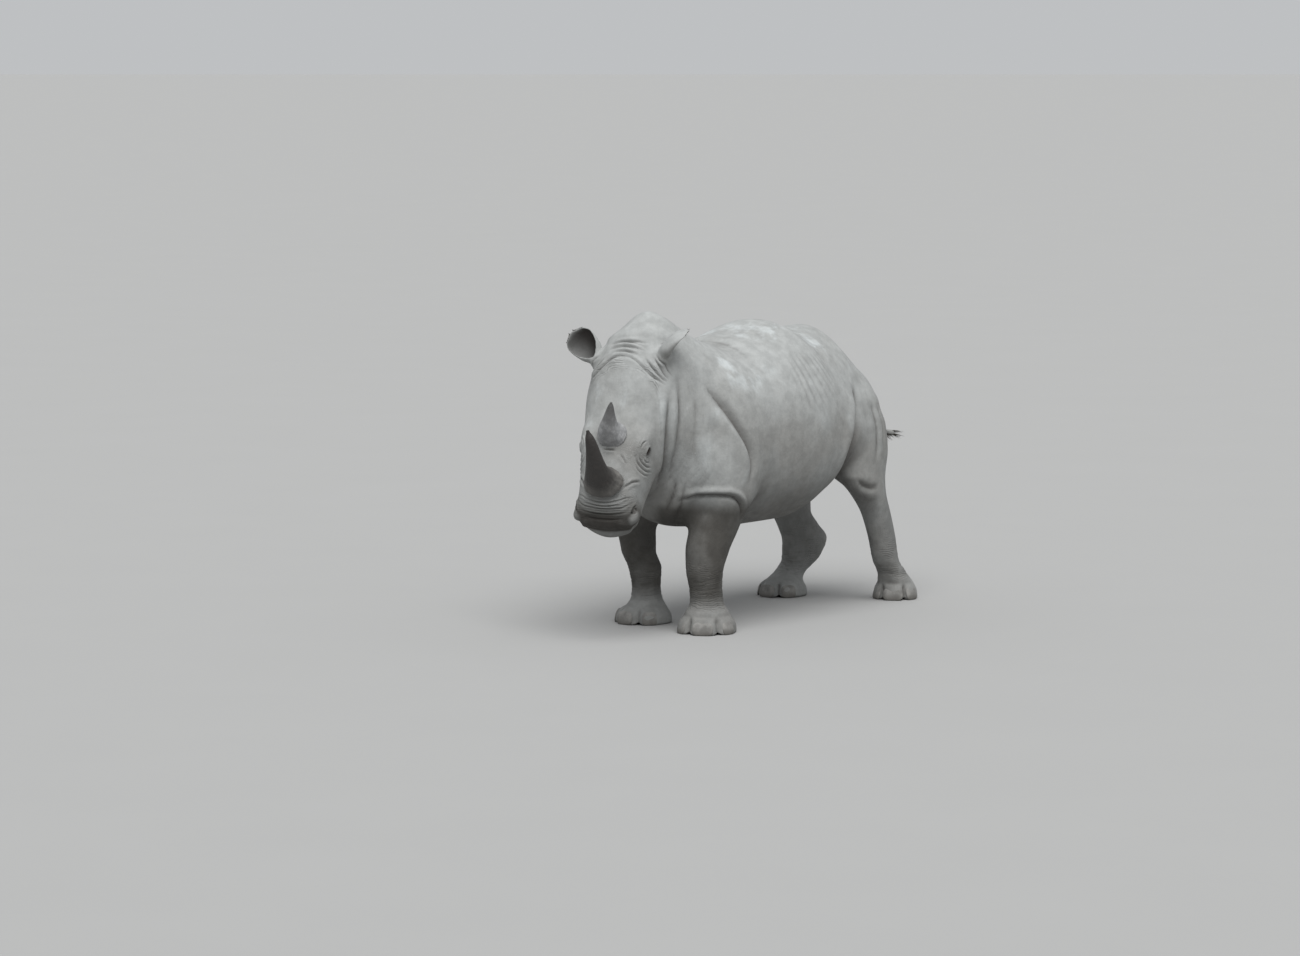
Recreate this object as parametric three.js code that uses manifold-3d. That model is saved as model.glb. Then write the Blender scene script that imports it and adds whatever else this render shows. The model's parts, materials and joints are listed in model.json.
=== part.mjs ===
// A white rhinoceros in mid-stride, life size, as a still model parted into its named body parts.
// Millimetres. +X is the way the animal walks, +Y its left, +Z up, and its soles stand on Z = 0.
//
// The whole hide is one smooth field: lofts through named sections for the trunk, neck, head and legs, and
// rounded masses for muscle and bone, all blended. Each flesh part is that field meshed at its own fineness
// and parted by thin cuts. Horns, ears, eyes, toenails and tail are closed bodies set on the hide.
import * as THREE from "three";
import { mergeVertices } from "three/addons/utils/BufferGeometryUtils.js";
import Module from "manifold-3d";

const wasm = await Module();
wasm.setup();

// ---------------------------------------------------------------- driving sizes

const GAP = 0.3; // left between touching parts

// The head's frame: from the poll along the face to the muzzle, to the animal's left, and up off the face.
const HEAD = {
  poll: [1120, 8, 1547],
  turn: 14, // degrees to the animal's left
  nod: 62, // degrees below level
  tilt: 3, // degrees, its left side down
};

// The left eye in the head's frame, the way it looks, and its lids' thickness and opening.
const EYE = { at: [555, 165, -90], looks: [0.3, 0.92, 0.22], radius: 21, lid: 7, opening: [19, 11] };

const NOSTRIL = { at: [884, 154, -136], radii: [24, 28, 13], turns: [0, -20, 20] };

// The mouth's slit: how far back it reaches, its level below the face, and its thickness and depth.
const MOUTH = { corner: 800, level: -197, gap: 8, depth: 24, half: 156, front: 970 };

// Horns in the head's frame: the level of the flat seat each stands on, its half width there and how deep it is
// for that width, the points its core runs through, and how it tapers along them.
const HORNS = {
  horn_front: {
    seat: -10,
    root: 108,
    deep: 0.8,
    core: [
      [778, 0, -40],
      [780, 2, 80],
      [752, 8, 180],
      [700, 6, 265],
      [632, -12, 332],
    ],
    radii: [
      [0, 1],
      [0.07, 1],
      [0.15, 0.88],
      [0.3, 0.68],
      [0.5, 0.5],
      [0.7, 0.36],
      [0.9, 0.22],
      [1, 0.08],
    ],
  },
  horn_rear: {
    seat: -12,
    root: 78,
    deep: 0.95,
    core: [
      [510, 0, -40],
      [504, 4, 55],
      [472, 18, 125],
      [410, 34, 186],
    ],
    radii: [
      [0, 1],
      [0.12, 1],
      [0.27, 0.86],
      [0.52, 0.58],
      [0.75, 0.36],
      [0.93, 0.18],
      [1, 0.08],
    ],
  },
};

// Ears: root in the head's frame; the way each points and opens in the animal's frame.
const EARS = {
  ear_left: { root: [70, 164, -48], along: [-0.14, 0.73, 0.76], open: [-0.7, 0.72, -0.9], length: 245 },
  ear_right: { root: [80, -154, -108], along: [0.3, -0.6, 0.68], open: [0.95, 0.2, 0.1], length: 245 },
};
const EAR_WALL = 8;
const EAR_SPLIT = 66; // from its root, where the ear parts from the head

// Half width and half depth along the ear, from its root to its tip.
const EAR_WIDTH = [
  [0, 34],
  [0.2, 46],
  [0.4, 70],
  [0.72, 84],
  [0.9, 66],
  [1, 16],
];
const EAR_DEPTH = [
  [0, 30],
  [0.2, 36],
  [0.5, 36],
  [0.75, 28],
  [0.92, 16],
  [1, 6],
];

const SIDES = { left: 1, right: -1 };

// Sections of the trunk and neck: along X, centre, half width, top, widest level, bottom, squareness.
const TRUNK = [
  [-1000, 0, 140, 1250, 1120, 1000, 2],
  [-880, 0, 238, 1374, 1040, 880, 1.9],
  [-720, 0, 345, 1476, 985, 760, 1.85],
  [-540, 0, 414, 1558, 975, 760, 1.85],
  [-300, 0, 480, 1550, 960, 604, 2],
  [-80, 0, 505, 1612, 960, 510, 2.1],
  [220, 0, 486, 1548, 985, 512, 2.15],
  [480, 0, 430, 1484, 1020, 530, 2.1],
  [700, 0, 370, 1490, 1040, 550, 2.1],
  [880, 0, 300, 1430, 1050, 600, 2],
  [1000, 0, 200, 1330, 1060, 740, 2],
];
const NECK = [
  [360, 0, 260, 1430, 1080, 720, 2],
  [520, 0, 300, 1500, 1090, 660, 2],
  [680, 0, 315, 1590, 1120, 650, 1.9],
  [830, 0, 300, 1680, 1160, 700, 1.8],
  [930, 0, 275, 1710, 1190, 790, 1.8],
  [1020, 0, 245, 1665, 1210, 880, 1.9],
  [1100, 0, 212, 1570, 1230, 980, 2],
  [1160, 0, 165, 1460, 1240, 1060, 2],
];

// Sections of the head in its own frame: along it, centre, half width, top, widest level, bottom, squareness.
const SKULL = [
  [-50, 0, 150, 0, -150, -300, 2],
  [40, 0, 184, 26, -160, -370, 2.1],
  [160, 0, 210, 24, -190, -405, 2.2],
  [300, 0, 222, 6, -215, -410, 2.3],
  [430, 0, 220, -6, -230, -395, 2.3],
  [553, 0, 206, -8, -230, -365, 2.3],
  [680, 0, 186, -6, -220, -335, 2.4],
  [780, 0, 170, -10, -205, -312, 2.6],
  [860, 0, 161, -40, -190, -305, 2.8],
  [912, 0, 151, -92, -190, -300, 2.9],
  [944, 0, 128, -125, -195, -285, 2.8],
];

// Legs stand on their soles and face `faces` degrees outwards, with the toes turned `toes` degrees further.
// Rows go up: height, centre across, half width, front, middle, back, squareness.
const LEGS = {
  leg_front_left: {
    sole: [722, 250],
    faces: 6,
    toes: 20,
    cut: { height: 470, reach: [-330, 330] },
    rows: [
      [980, 10, 110, 130, -80, -260, 2],
      [850, 15, 130, 100, -90, -260, 2],
      [730, 15, 128, 70, -90, -245, 2],
      [558, 8, 122, 118, -47, -208, 2],
      [430, 0, 110, 150, 17, -116, 2],
      [326, 0, 96, 150, 46, -60, 2],
      [232, 0, 84, 126, 32, -62, 2.1],
      [166, 0, 86, 116, 23, -74, 2.1],
      [100, 0, 118, 150, 20, -112, 2.1],
      [40, 0, 148, 172, 15, -138, 2.2],
      [-20, 0, 152, 178, 15, -142, 2.2],
    ],
  },
  leg_front_right: {
    sole: [598, -250],
    faces: 6,
    toes: 4,
    cut: { height: 470, reach: [-330, 330] },
    rows: [
      [980, -10, 110, 170, -40, -220, 2],
      [850, -15, 130, 170, -20, -210, 2],
      [720, -22, 114, 170, 20, -115, 2],
      [560, -14, 106, 172, 58, -50, 2],
      [400, 0, 98, 142, 56, -36, 2],
      [290, 0, 90, 86, 2, -88, 2],
      [190, 0, 78, 64, -8, -86, 2.1],
      [130, 0, 84, 72, -12, -98, 2.1],
      [80, 0, 120, 124, 0, -118, 2.1],
      [40, 0, 146, 158, 5, -132, 2.2],
      [-20, 0, 150, 162, 5, -138, 2.2],
    ],
  },
  leg_hind_left: {
    sole: [-1038, 332],
    faces: 8,
    toes: 17,
    cut: { height: 560, reach: [-330, 670] },
    rows: [
      [1110, -95, 90, 500, 340, 190, 2],
      [1000, -80, 112, 560, 360, 140, 2],
      [860, -65, 116, 590, 370, 130, 2],
      [740, -53, 108, 585, 370, 168, 2],
      [620, -33, 90, 455, 320, 193, 2],
      [500, -20, 78, 345, 249, 149, 2],
      [360, -12, 73, 275, 185, 95, 2],
      [230, -6, 70, 224, 146, 60, 2.1],
      [150, 0, 76, 162, 74, -25, 2.1],
      [90, 0, 100, 138, 28, -82, 2.1],
      [40, 0, 116, 138, 16, -104, 2.2],
      [-20, 0, 120, 142, 16, -108, 2.2],
    ],
  },
  leg_hind_right: {
    sole: [-770, -252],
    faces: 8,
    toes: 0,
    cut: { height: 560, reach: [-480, 330] },
    rows: [
      [1110, 55, 90, 200, 40, -120, 2],
      [1000, 45, 112, 260, 60, -160, 2],
      [850, 28, 118, 290, 50, -195, 2],
      [720, 12, 104, 250, 30, -200, 2],
      [600, 0, 92, 162, -14, -198, 2],
      [470, 0, 82, 80, -50, -202, 2],
      [390, 0, 78, 30, -108, -266, 2],
      [300, 0, 76, -6, -162, -348, 2],
      [200, 0, 71, -4, -124, -288, 2],
      [130, 0, 74, 52, -50, -158, 2.1],
      [85, 0, 104, 120, 0, -110, 2.1],
      [40, 0, 128, 146, 5, -122, 2.2],
      [-20, 0, 132, 150, 5, -126, 2.2],
    ],
  },
};

const SOLE_ROW = 40; // the leg row that gives the foot's plan

// Toenails: the way each faces from straight ahead, and its half width; then what all share.
const NAILS = { inner: [-57, 44], middle: [0, 58], outer: [57, 44] };
const NAIL = { high: 42, thick: 19, above: 34, forward: 1, lean: 14, clear: 3 };

const TAIL = {
  core: [
    [-960, 0, 1250],
    [-1090, 0, 1212],
    [-1170, 6, 1120],
    [-1208, 24, 1005],
    [-1285, 52, 918],
    [-1410, 75, 888],
  ],
  root: 52,
  tip: 14,
  parts_at: 0.27, // share of its length that belongs to the rump
};

// The tail's bristles, flat locks down both its edges from `first` to `last` along it and out past its tip.
const BRISTLES = { rows: 7, first: 0.74, last: 0.99, length: 105, width: 9, thick: 3.2, spread: 34 };

// Mesh fineness: the cell's three edges for each flesh part, longest along its length.
const CELL = { torso: [105, 72, 72], neck: [62, 62, 62], head: [40, 32, 32], leg: [40, 40, 58] };

// ---------------------------------------------------------------- frames

const placed = (at, [rx, ry, rz] = [0, 0, 0]) =>
  new THREE.Matrix4().compose(
    new THREE.Vector3(...at),
    new THREE.Quaternion().setFromEuler(
      new THREE.Euler(...[rx, ry, rz].map(THREE.MathUtils.degToRad), "ZYX"),
    ),
    new THREE.Vector3(1, 1, 1),
  );

const WORLD = placed([0, 0, 0]);
const HEAD_FRAME = placed(HEAD.poll, [-HEAD.tilt, HEAD.nod, HEAD.turn]);

// A leg's axes: up, then to the animal's left, then forward.
const legFrame = ([x, y], turn) =>
  placed([x, y, 0], [0, 0, turn]).multiply(
    new THREE.Matrix4().set(0, 0, 1, 0, 0, 1, 0, 0, 1, 0, 0, 0, 0, 0, 0, 1),
  );

// ---------------------------------------------------------------- fields: negative inside the hide, in mm

// Rows joined by a smooth curve that never overshoots them.
function smoothRows(rows) {
  const sorted = [...rows].sort((a, b) => a[0] - b[0]);
  const slopes = sorted.map((row, i) => {
    const before = sorted[i - 1];
    const after = sorted[i + 1];
    return row.map((value, c) => {
      if (!before || !after) return 0;
      const left = (value - before[c]) / (row[0] - before[0]);
      const right = (after[c] - value) / (after[0] - row[0]);
      return left * right > 0 ? (2 * left * right) / (left + right) : 0;
    });
  });
  const last = sorted.length - 1;
  return (at, out = []) => {
    let i = 0;
    while (i < last - 1 && at > sorted[i + 1][0]) i++;
    const [a, b] = [sorted[i], sorted[i + 1]];
    const span = b[0] - a[0];
    const t = Math.min(Math.max((at - a[0]) / span, 0), 1);
    const t2 = t * t;
    const t3 = t2 * t;
    for (let c = 1; c < a.length; c++)
      out[c] =
        a[c] * (2 * t3 - 3 * t2 + 1) +
        b[c] * (3 * t2 - 2 * t3) +
        span * (slopes[i][c] * (t3 - 2 * t2 + t) + slopes[i + 1][c] * (t3 - t2));
    return out;
  };
}

// A body through sections across its frame's first axis, closed at its ends by caps of these lengths.
function loft(frame, rows, [capStart, capEnd]) {
  const e = frame.clone().invert().elements;
  const section = smoothRows(rows);
  const first = Math.min(...rows.map((r) => r[0]));
  const last = Math.max(...rows.map((r) => r[0]));
  const row = new Array(7);
  return (x, y, z) => {
    const at = e[0] * x + e[4] * y + e[8] * z + e[12];
    const v = e[1] * x + e[5] * y + e[9] * z + e[13];
    const w = e[2] * x + e[6] * y + e[10] * z + e[14];
    section(Math.min(Math.max(at, first), last), row);
    const [, centre, half, high, level, low, square] = row;
    const height = w > level ? high - level : level - low;
    const past = at < first ? (first - at) / capStart : at > last ? (at - last) / capEnd : 0;
    const a = Math.abs(v - centre) / half;
    const b = Math.abs(w - level) / height;
    const q = (a ** square + b ** square + past ** square) ** (1 / square);
    if (q < 0.3) return (q - 1) * Math.min(half, height);
    const grow = q ** (1 - square);
    const slope = Math.hypot(
      (grow * a ** (square - 1)) / half,
      (grow * b ** (square - 1)) / height,
      past ? (grow * past ** (square - 1)) / (at < first ? capStart : capEnd) : 0,
    );
    return (q - 1) / Math.max(slope, 0.5 / Math.max(half, height));
  };
}

// A rounded mass: an ellipsoid at a point of a frame, turned about that frame's axes.
function mass(frame, at, radii, turns) {
  const e = frame.clone().multiply(placed(at, turns)).invert().elements;
  const [a, b, c] = radii;
  return (x, y, z) => {
    const u = (e[0] * x + e[4] * y + e[8] * z + e[12]) / a;
    const v = (e[1] * x + e[5] * y + e[9] * z + e[13]) / b;
    const w = (e[2] * x + e[6] * y + e[10] * z + e[14]) / c;
    const k = Math.hypot(u, v, w);
    const slope = Math.hypot(u / a, v / b, w / c);
    return slope > 1e-9 ? (k * (k - 1)) / slope : -Math.min(a, b, c);
  };
}

const pieces = [];
const add = (soft, at) => pieces.push({ soft, at });

add(1, loft(WORLD, TRUNK, [105, 60]));
add(150, loft(WORLD, NECK, [60, 50]));
add(80, loft(HEAD_FRAME, SKULL, [40, 24]));
for (const { sole, faces, rows } of Object.values(LEGS))
  add(90, loft(legFrame(sole, Math.sign(sole[1]) * faces), rows, [40, 80]));
for (const side of Object.values(SIDES)) {
  add(120, mass(WORLD, [600, side * 290, 1000], [220, 140, 380], [side * 8, -14, 0])); // shoulder
  add(120, mass(WORLD, [-730, side * 190, 960], [220, 150, 300], [side * 6, 10, 0])); // haunch
  add(110, mass(WORLD, [-865, side * 138, 985], [140, 106, 260], [0, -14, 0])); // buttock
  add(60, mass(HEAD_FRAME, [520, side * 142, -82], [80, 36, 36], [0, 0, side * -6])); // brow
  add(50, mass(HEAD_FRAME, [890, side * 122, -150], [52, 44, 46], [0, 0, 0])); // nostril's bulge
}
add(30, mass(HEAD_FRAME, [886, 0, -162], [86, 158, 34], [0, 0, 0])); // upper lip
add(24, mass(HEAD_FRAME, [886, 0, -246], [106, 128, 50], [0, 0, 0])); // lower lip

function hide(x, y, z) {
  let d = 1e6;
  for (const { soft, at } of pieces) {
    const e = at(x, y, z);
    const h = Math.max(soft - Math.abs(d - e), 0) / soft;
    d = Math.min(d, e) - (h * h * soft) / 4;
  }
  return d;
}

// ---------------------------------------------------------------- meshes from the field

// Newton steps along the field's slope, kept near the first place.
function drawnOnto(field, place, cell) {
  let [x, y, z] = place;
  const step = 0.5;
  for (let turn = 0; turn < 4; turn++) {
    const d = field(x, y, z);
    const slope = [
      (field(x + step, y, z) - d) / step,
      (field(x, y + step, z) - d) / step,
      (field(x, y, z + step) - d) / step,
    ];
    const size = slope[0] ** 2 + slope[1] ** 2 + slope[2] ** 2;
    if (size < 0.01) break;
    const most = 0.4 * Math.min(...cell);
    const move = THREE.MathUtils.clamp(d, -most, most) / size;
    x -= move * slope[0];
    y -= move * slope[1];
    z -= move * slope[2];
  }
  const reach = cell.map((size) => 0.6 * size);
  return [x, y, z].map((v, a) => THREE.MathUtils.clamp(v, place[a] - reach[a], place[a] + reach[a]));
}

// Where a square's corners lie in and out by turns, the surface would touch itself, so the corner nearest the
// surface changes side, until there is no such square.
function withoutPinches(values, [nx, ny, nz]) {
  const across = [
    [1, nx],
    [1, nx * ny],
    [nx, nx * ny],
  ];
  for (let turn = 0; turn < 8; turn++) {
    let changed = false;
    for (let here = 0; here < nx * ny * (nz - 1) - nx - 1; here++)
      for (const [s, t] of across) {
        const square = [here, here + s, here + s + t, here + t];
        const [a, b, c, d] = square.map((i) => values[i] < 0);
        if (a !== c || b !== d || a === b) continue;
        const faintest = square.reduce((i, j) => (Math.abs(values[j]) < Math.abs(values[i]) ? j : i));
        values[faintest] *= -1;
        changed = true;
      }
    if (!changed) return;
  }
}

// Surface nets: one vertex in each cell that the surface crosses, drawn onto the surface, and one quad round
// each crossed edge. The grid fills the box from low to high of a frame, in cells of three sizes.
function netOf(field, frame, low, high, cell) {
  const [nx, ny, nz] = low.map((a, i) => Math.ceil((high[i] - a) / cell[i]) + 1);
  const e = frame.elements;
  const local = (u, v, w) =>
    field(
      e[0] * u + e[4] * v + e[8] * w + e[12],
      e[1] * u + e[5] * v + e[9] * w + e[13],
      e[2] * u + e[6] * v + e[10] * w + e[14],
    );
  const index = (i, j, k) => i + nx * (j + ny * k);
  const values = new Float32Array(nx * ny * nz);
  for (let k = 0; k < nz; k++)
    for (let j = 0; j < ny; j++)
      for (let i = 0; i < nx; i++) {
        const rim = i === 0 || j === 0 || k === 0 || i === nx - 1 || j === ny - 1 || k === nz - 1;
        const value = local(low[0] + i * cell[0], low[1] + j * cell[1], low[2] + k * cell[2]);
        values[index(i, j, k)] = rim ? Math.max(value, 1) : value;
      }
  withoutPinches(values, [nx, ny, nz]);
  const vertexOf = new Int32Array(values.length).fill(-1);
  const points = [];
  const corners = [0, 1, 2, 3, 4, 5, 6, 7].map((c) => [c & 1, (c >> 1) & 1, c >> 2]);
  for (let k = 0; k < nz - 1; k++)
    for (let j = 0; j < ny - 1; j++)
      for (let i = 0; i < nx - 1; i++) {
        const at = corners.map(([a, b, c]) => values[index(i + a, j + b, k + c)]);
        const inside = at.filter((v) => v < 0).length;
        if (inside === 0 || inside === 8) continue;
        const sum = [0, 0, 0];
        let crossings = 0;
        for (let c = 0; c < 8; c++)
          for (const bit of [1, 2, 4]) {
            if (c & bit || at[c] < 0 === at[c | bit] < 0) continue;
            const t = at[c] / (at[c] - at[c | bit]);
            corners[c].forEach((v, axis) => (sum[axis] += v + (axis === bit >> 1 ? t : 0)));
            crossings++;
          }
        vertexOf[index(i, j, k)] = points.length / 3;
        const place = [i, j, k].map((v, a) => low[a] + (v + sum[a] / crossings) * cell[a]);
        points.push(...drawnOnto(local, place, cell));
      }
  const faces = [];
  const strides = [1, nx, nx * ny];
  const span = (s, t) =>
    Math.hypot(...[0, 1, 2].map((axis) => points[3 * s + axis] - points[3 * t + axis]));
  for (let k = 0; k < nz - 1; k++)
    for (let j = 0; j < ny - 1; j++)
      for (let i = 0; i < nx - 1; i++)
        for (let axis = 0; axis < 3; axis++) {
          const here = index(i, j, k);
          const [p, q] = [(axis + 1) % 3, (axis + 2) % 3];
          if ([i, j, k][p] === 0 || [i, j, k][q] === 0) continue;
          const [a, b] = [values[here], values[here + strides[axis]]];
          if (a < 0 === b < 0) continue;
          const quad = [0, strides[p], strides[p] + strides[q], strides[q]].map((s) => vertexOf[here - s]);
          if (a >= 0) quad.reverse();
          const [s, t, u, v] = quad;
          if (span(s, u) <= span(t, v)) faces.push(s, t, u, s, u, v);
          else faces.push(s, t, v, t, u, v);
        }
  return new THREE.BufferGeometry()
    .setAttribute("position", new THREE.Float32BufferAttribute(points, 3))
    .setIndex(faces)
    .applyMatrix4(frame);
}

// ---------------------------------------------------------------- solids

function solid(geometry, frame = WORLD) {
  const bare = geometry.clone().deleteAttribute("normal").deleteAttribute("uv").applyMatrix4(frame);
  const merged = mergeVertices(bare, 1e-3);
  return new wasm.Manifold(
    new wasm.Mesh({
      numProp: 3,
      vertProperties: merged.attributes.position.array,
      triVerts: new Uint32Array(merged.index.array),
    }),
  );
}

const largest = (body) =>
  body.decompose().reduce((most, piece) => (piece.volume() > most.volume() ? piece : most));

function box(frame, low, high) {
  const size = high.map((v, i) => v - low[i]);
  const middle = high.map((v, i) => (v + low[i]) / 2);
  return solid(new THREE.BoxGeometry(...size).translate(...middle), frame);
}

// A solid along a curve: a capped cylinder with its rings set across it. sizeAt gives each ring's half sizes,
// first the way that `side` points, then across that. lift moves a ring that second way.
function alongCurve(curve, side, sizeAt, sides, steps, lift = () => 0) {
  const geometry = new THREE.CylinderGeometry(1, 1, 1, sides, steps);
  const at = geometry.attributes.position;
  for (let i = 0; i < at.count; i++) {
    const t = THREE.MathUtils.clamp(at.getY(i) + 0.5, 0, 1);
    const tangent = curve.getTangentAt(t);
    const across = side.clone().addScaledVector(tangent, -side.dot(tangent)).normalize();
    const through = new THREE.Vector3().crossVectors(across, tangent);
    const [a, b] = sizeAt(t);
    const point = curve
      .getPointAt(t)
      .addScaledVector(across, a * at.getX(i))
      .addScaledVector(through, b * at.getZ(i) + lift(t));
    at.setXYZ(i, point.x, point.y, point.z);
  }
  return geometry;
}

// A frame at a point with its third axis along a direction.
const facing = (at, direction) =>
  new THREE.Matrix4()
    .makeRotationFromQuaternion(
      new THREE.Quaternion().setFromUnitVectors(new THREE.Vector3(0, 0, 1), direction),
    )
    .setPosition(at);

const curveThrough = (points) => new THREE.CatmullRomCurve3(points.map((p) => new THREE.Vector3(...p)));

// Draws the ends of edges shorter than `least` together and drops the faces that this closes.
function withoutSlivers(points, faces, least) {
  const kept = Array.from({ length: points.length / 3 }, (_, i) => i);
  const end = (i) => {
    while (kept[i] !== i) i = kept[i];
    return i;
  };
  const apart = (i, j) => Math.hypot(...[0, 1, 2].map((axis) => points[3 * i + axis] - points[3 * j + axis]));
  for (let f = 0; f < faces.length; f += 3)
    for (const [i, j] of [[f, f + 1], [f + 1, f + 2], [f + 2, f]])
      if (apart(faces[i], faces[j]) < least) kept[end(faces[j])] = end(faces[i]);
  const whole = new Map();
  for (let f = 0; f < faces.length; f += 3) {
    const face = [end(faces[f]), end(faces[f + 1]), end(faces[f + 2])];
    if (new Set(face).size < 3) continue;
    const key = [...face].sort((a, b) => a - b).join();
    if (whole.has(key)) whole.delete(key);
    else whole.set(key, face);
  }
  return [...whole.values()].flat();
}

const group = new THREE.Group();

function part(name, body, colour, roughness) {
  const { vertProperties, triVerts, numProp } = largest(body).getMesh();
  const points = new Float32Array((vertProperties.length / numProp) * 3);
  for (let i = 0; i < points.length / 3; i++)
    points.set(vertProperties.subarray(i * numProp, i * numProp + 3), 3 * i);
  const geometry = new THREE.BufferGeometry()
    .setAttribute("position", new THREE.BufferAttribute(points, 3))
    .setIndex(withoutSlivers(points, triVerts, 0.05));
  geometry.computeVertexNormals();
  const material = new THREE.MeshStandardMaterial({ color: colour, roughness, metalness: 0 });
  const mesh = new THREE.Mesh(geometry, material);
  mesh.name = name;
  group.add(mesh);
}

const HIDE = 0x8b8680;

// ---------------------------------------------------------------- cuts between flesh parts

const headCut = placed(HEAD.poll, [0, HEAD.nod, 0]);
const headBox = (grow) => box(headCut, [-45 - grow, -420 - grow, -412 - grow], [1250, 420 + grow, 700]);
const neckFrame = placed([700, 0, 1150], [0, -20, 0]);
const neckBox = (grow) => box(neckFrame, [-grow, -700, -900], [900, 700, 900]);

// A leg's cut slants up and outwards through the armpit or groin.
function legBox({ sole: [x, y], cut: { height, reach } }, grow) {
  const side = Math.sign(y);
  const slant = placed([x, side * 100, height], [side * 27, 0, 0]);
  const outer = box(slant, [reach[0], -600, -700], [reach[1], 600, grow]);
  return outer.intersect(box(WORLD, [-3000, side > 0 ? 5 : -900, -100], [3000, side > 0 ? 900 : -5, 1500]));
}

const floor = box(WORLD, [-2000, -1000, -500], [2000, 1000, 0]);

// ---------------------------------------------------------------- horns, ears, eyes, nails, tail

function horn({ seat, root, deep, core, radii }) {
  const size = smoothRows(radii);
  const ring = (t) => [root * size(t)[1], root * size(t)[1] * deep];
  const whole = alongCurve(curveThrough(core), new THREE.Vector3(0, 1, 0), ring, 14, 10);
  return solid(whole, HEAD_FRAME).intersect(box(HEAD_FRAME, [0, -500, seat], [1500, 500, 700]));
}

// The flat seat that a horn's root stands on, with a low boss of skin round it.
function hornSeat({ seat, root, deep, core }, body) {
  const [u] = core[0];
  const rod = (radius, radiusBelow, from, to) =>
    solid(
      new THREE.CylinderGeometry(radius, radiusBelow, to - from, 14)
        .rotateX(Math.PI / 2)
        .scale(deep, 1, 1)
        .translate(u, 0, seat + (from + to) / 2),
      HEAD_FRAME,
    );
  return body.add(rod(root + 9, root + 34, -70, 3)).subtract(rod(root + 3.6, root + 3.6, -GAP, 150));
}

const earWidth = smoothRows(EAR_WIDTH);
const earDepth = smoothRows(EAR_DEPTH);

function earAxes({ root, along, open }) {
  const start = new THREE.Vector3(...root).applyMatrix4(HEAD_FRAME);
  const axis = new THREE.Vector3(...along).normalize();
  const front = new THREE.Vector3(...open);
  front.addScaledVector(axis, -front.dot(axis)).normalize();
  return { start, axis, front, side: new THREE.Vector3().crossVectors(axis, front) };
}

// A leaf-shaped spindle, hollowed from its front by a smaller one moved forward.
function ear(shape) {
  const { start, axis, front, side } = earAxes(shape);
  const spine = new THREE.CatmullRomCurve3(
    [
      [0, 0],
      [0.35, -10],
      [0.7, -8],
      [1, 8],
    ].map(([s, forward]) => {
      const point = start.clone().addScaledVector(axis, s * shape.length);
      return point.addScaledVector(front, forward);
    }),
  );
  const outer = solid(alongCurve(spine, side, (t) => [earWidth(t)[1], earDepth(t)[1]], 12, 10));
  const [from, to] = [0.28, 0.96];
  const shift = 15;
  const stations = [0, 0.3, 0.65, 1].map((t) => spine.getPointAt(THREE.MathUtils.lerp(from, to, t)));
  const hollowSize = (t) => {
    const s = THREE.MathUtils.lerp(from, to, t);
    const narrow = Math.min(1, t * 3 + 0.25) * Math.min(1, (1 - t) * 5 + 0.3);
    return [(earWidth(s)[1] * 0.93 - EAR_WALL) * narrow, earDepth(s)[1] - EAR_WALL + shift];
  };
  const lift = (t) => shift + 24 * Math.max(0, 0.3 - t);
  const hollow = alongCurve(new THREE.CatmullRomCurve3(stations), side, hollowSize, 10, 7, lift);
  return outer.subtract(solid(hollow));
}

// The length of an ear between two distances from its root.
function earPart(shape, whole, from, to) {
  const { start, axis } = earAxes(shape);
  return whole.intersect(box(facing(start, axis), [-300, -300, from], [300, 300, to]));
}

// The eye's own frame looks along its third axis, with its first along the face.
function eyeFrame(side) {
  const looks = new THREE.Vector3(...EYE.looks).normalize();
  const long = new THREE.Vector3(1, 0, 0).addScaledVector(looks, -looks.x).normalize();
  const high = new THREE.Vector3().crossVectors(looks, long);
  const frame = new THREE.Matrix4().makeBasis(long, high, looks).setPosition(...EYE.at);
  const mirror = new THREE.Matrix4().makeScale(1, side, 1);
  return HEAD_FRAME.clone().multiply(mirror).multiply(frame).multiply(mirror);
}

// Lids round a socket for the eyeball, with an almond opening.
function withEye(head, side) {
  const frame = eyeFrame(side);
  const opening = new THREE.CylinderGeometry(1, 1, 60, 12).rotateX(Math.PI / 2).translate(0, 0, 30);
  return head
    .add(eyeball(side, EYE.radius + EYE.lid))
    .subtract(eyeball(side, EYE.radius + GAP))
    .subtract(solid(opening.scale(...EYE.opening, 1), frame));
}

const eyeball = (side, radius) => solid(new THREE.SphereGeometry(radius, 12, 8), eyeFrame(side));

function nostril(side) {
  const [u, v, w] = NOSTRIL.at;
  const [rx, ry, rz] = NOSTRIL.turns;
  const frame = HEAD_FRAME.clone().multiply(placed([u, side * v, w], [side * rx, ry, side * rz]));
  return solid(new THREE.SphereGeometry(1, 12, 8).scale(...NOSTRIL.radii), frame);
}

// The mouth's slit: a flat U that runs round the muzzle between the lips.
function mouthSlit() {
  const { corner, level, gap, depth, half, front } = MOUTH;
  const far = 60;
  const round = 90;
  const outline = new THREE.Shape()
    .moveTo(corner, -half - far)
    .lineTo(front + far, -half - far)
    .lineTo(front + far, half + far)
    .lineTo(corner, half + far)
    .lineTo(corner + 30, half - depth)
    .lineTo(front - depth - round, half - depth)
    .quadraticCurveTo(front - depth, half - depth, front - depth, half - depth - round)
    .lineTo(front - depth, -half + depth + round)
    .quadraticCurveTo(front - depth, -half + depth, front - depth - round, -half + depth)
    .lineTo(corner + 30, -half + depth);
  const slab = new THREE.ExtrudeGeometry(outline, { depth: gap, bevelEnabled: false, curveSegments: 4 });
  return solid(slab.translate(0, 0, level - gap / 2), HEAD_FRAME);
}

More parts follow.
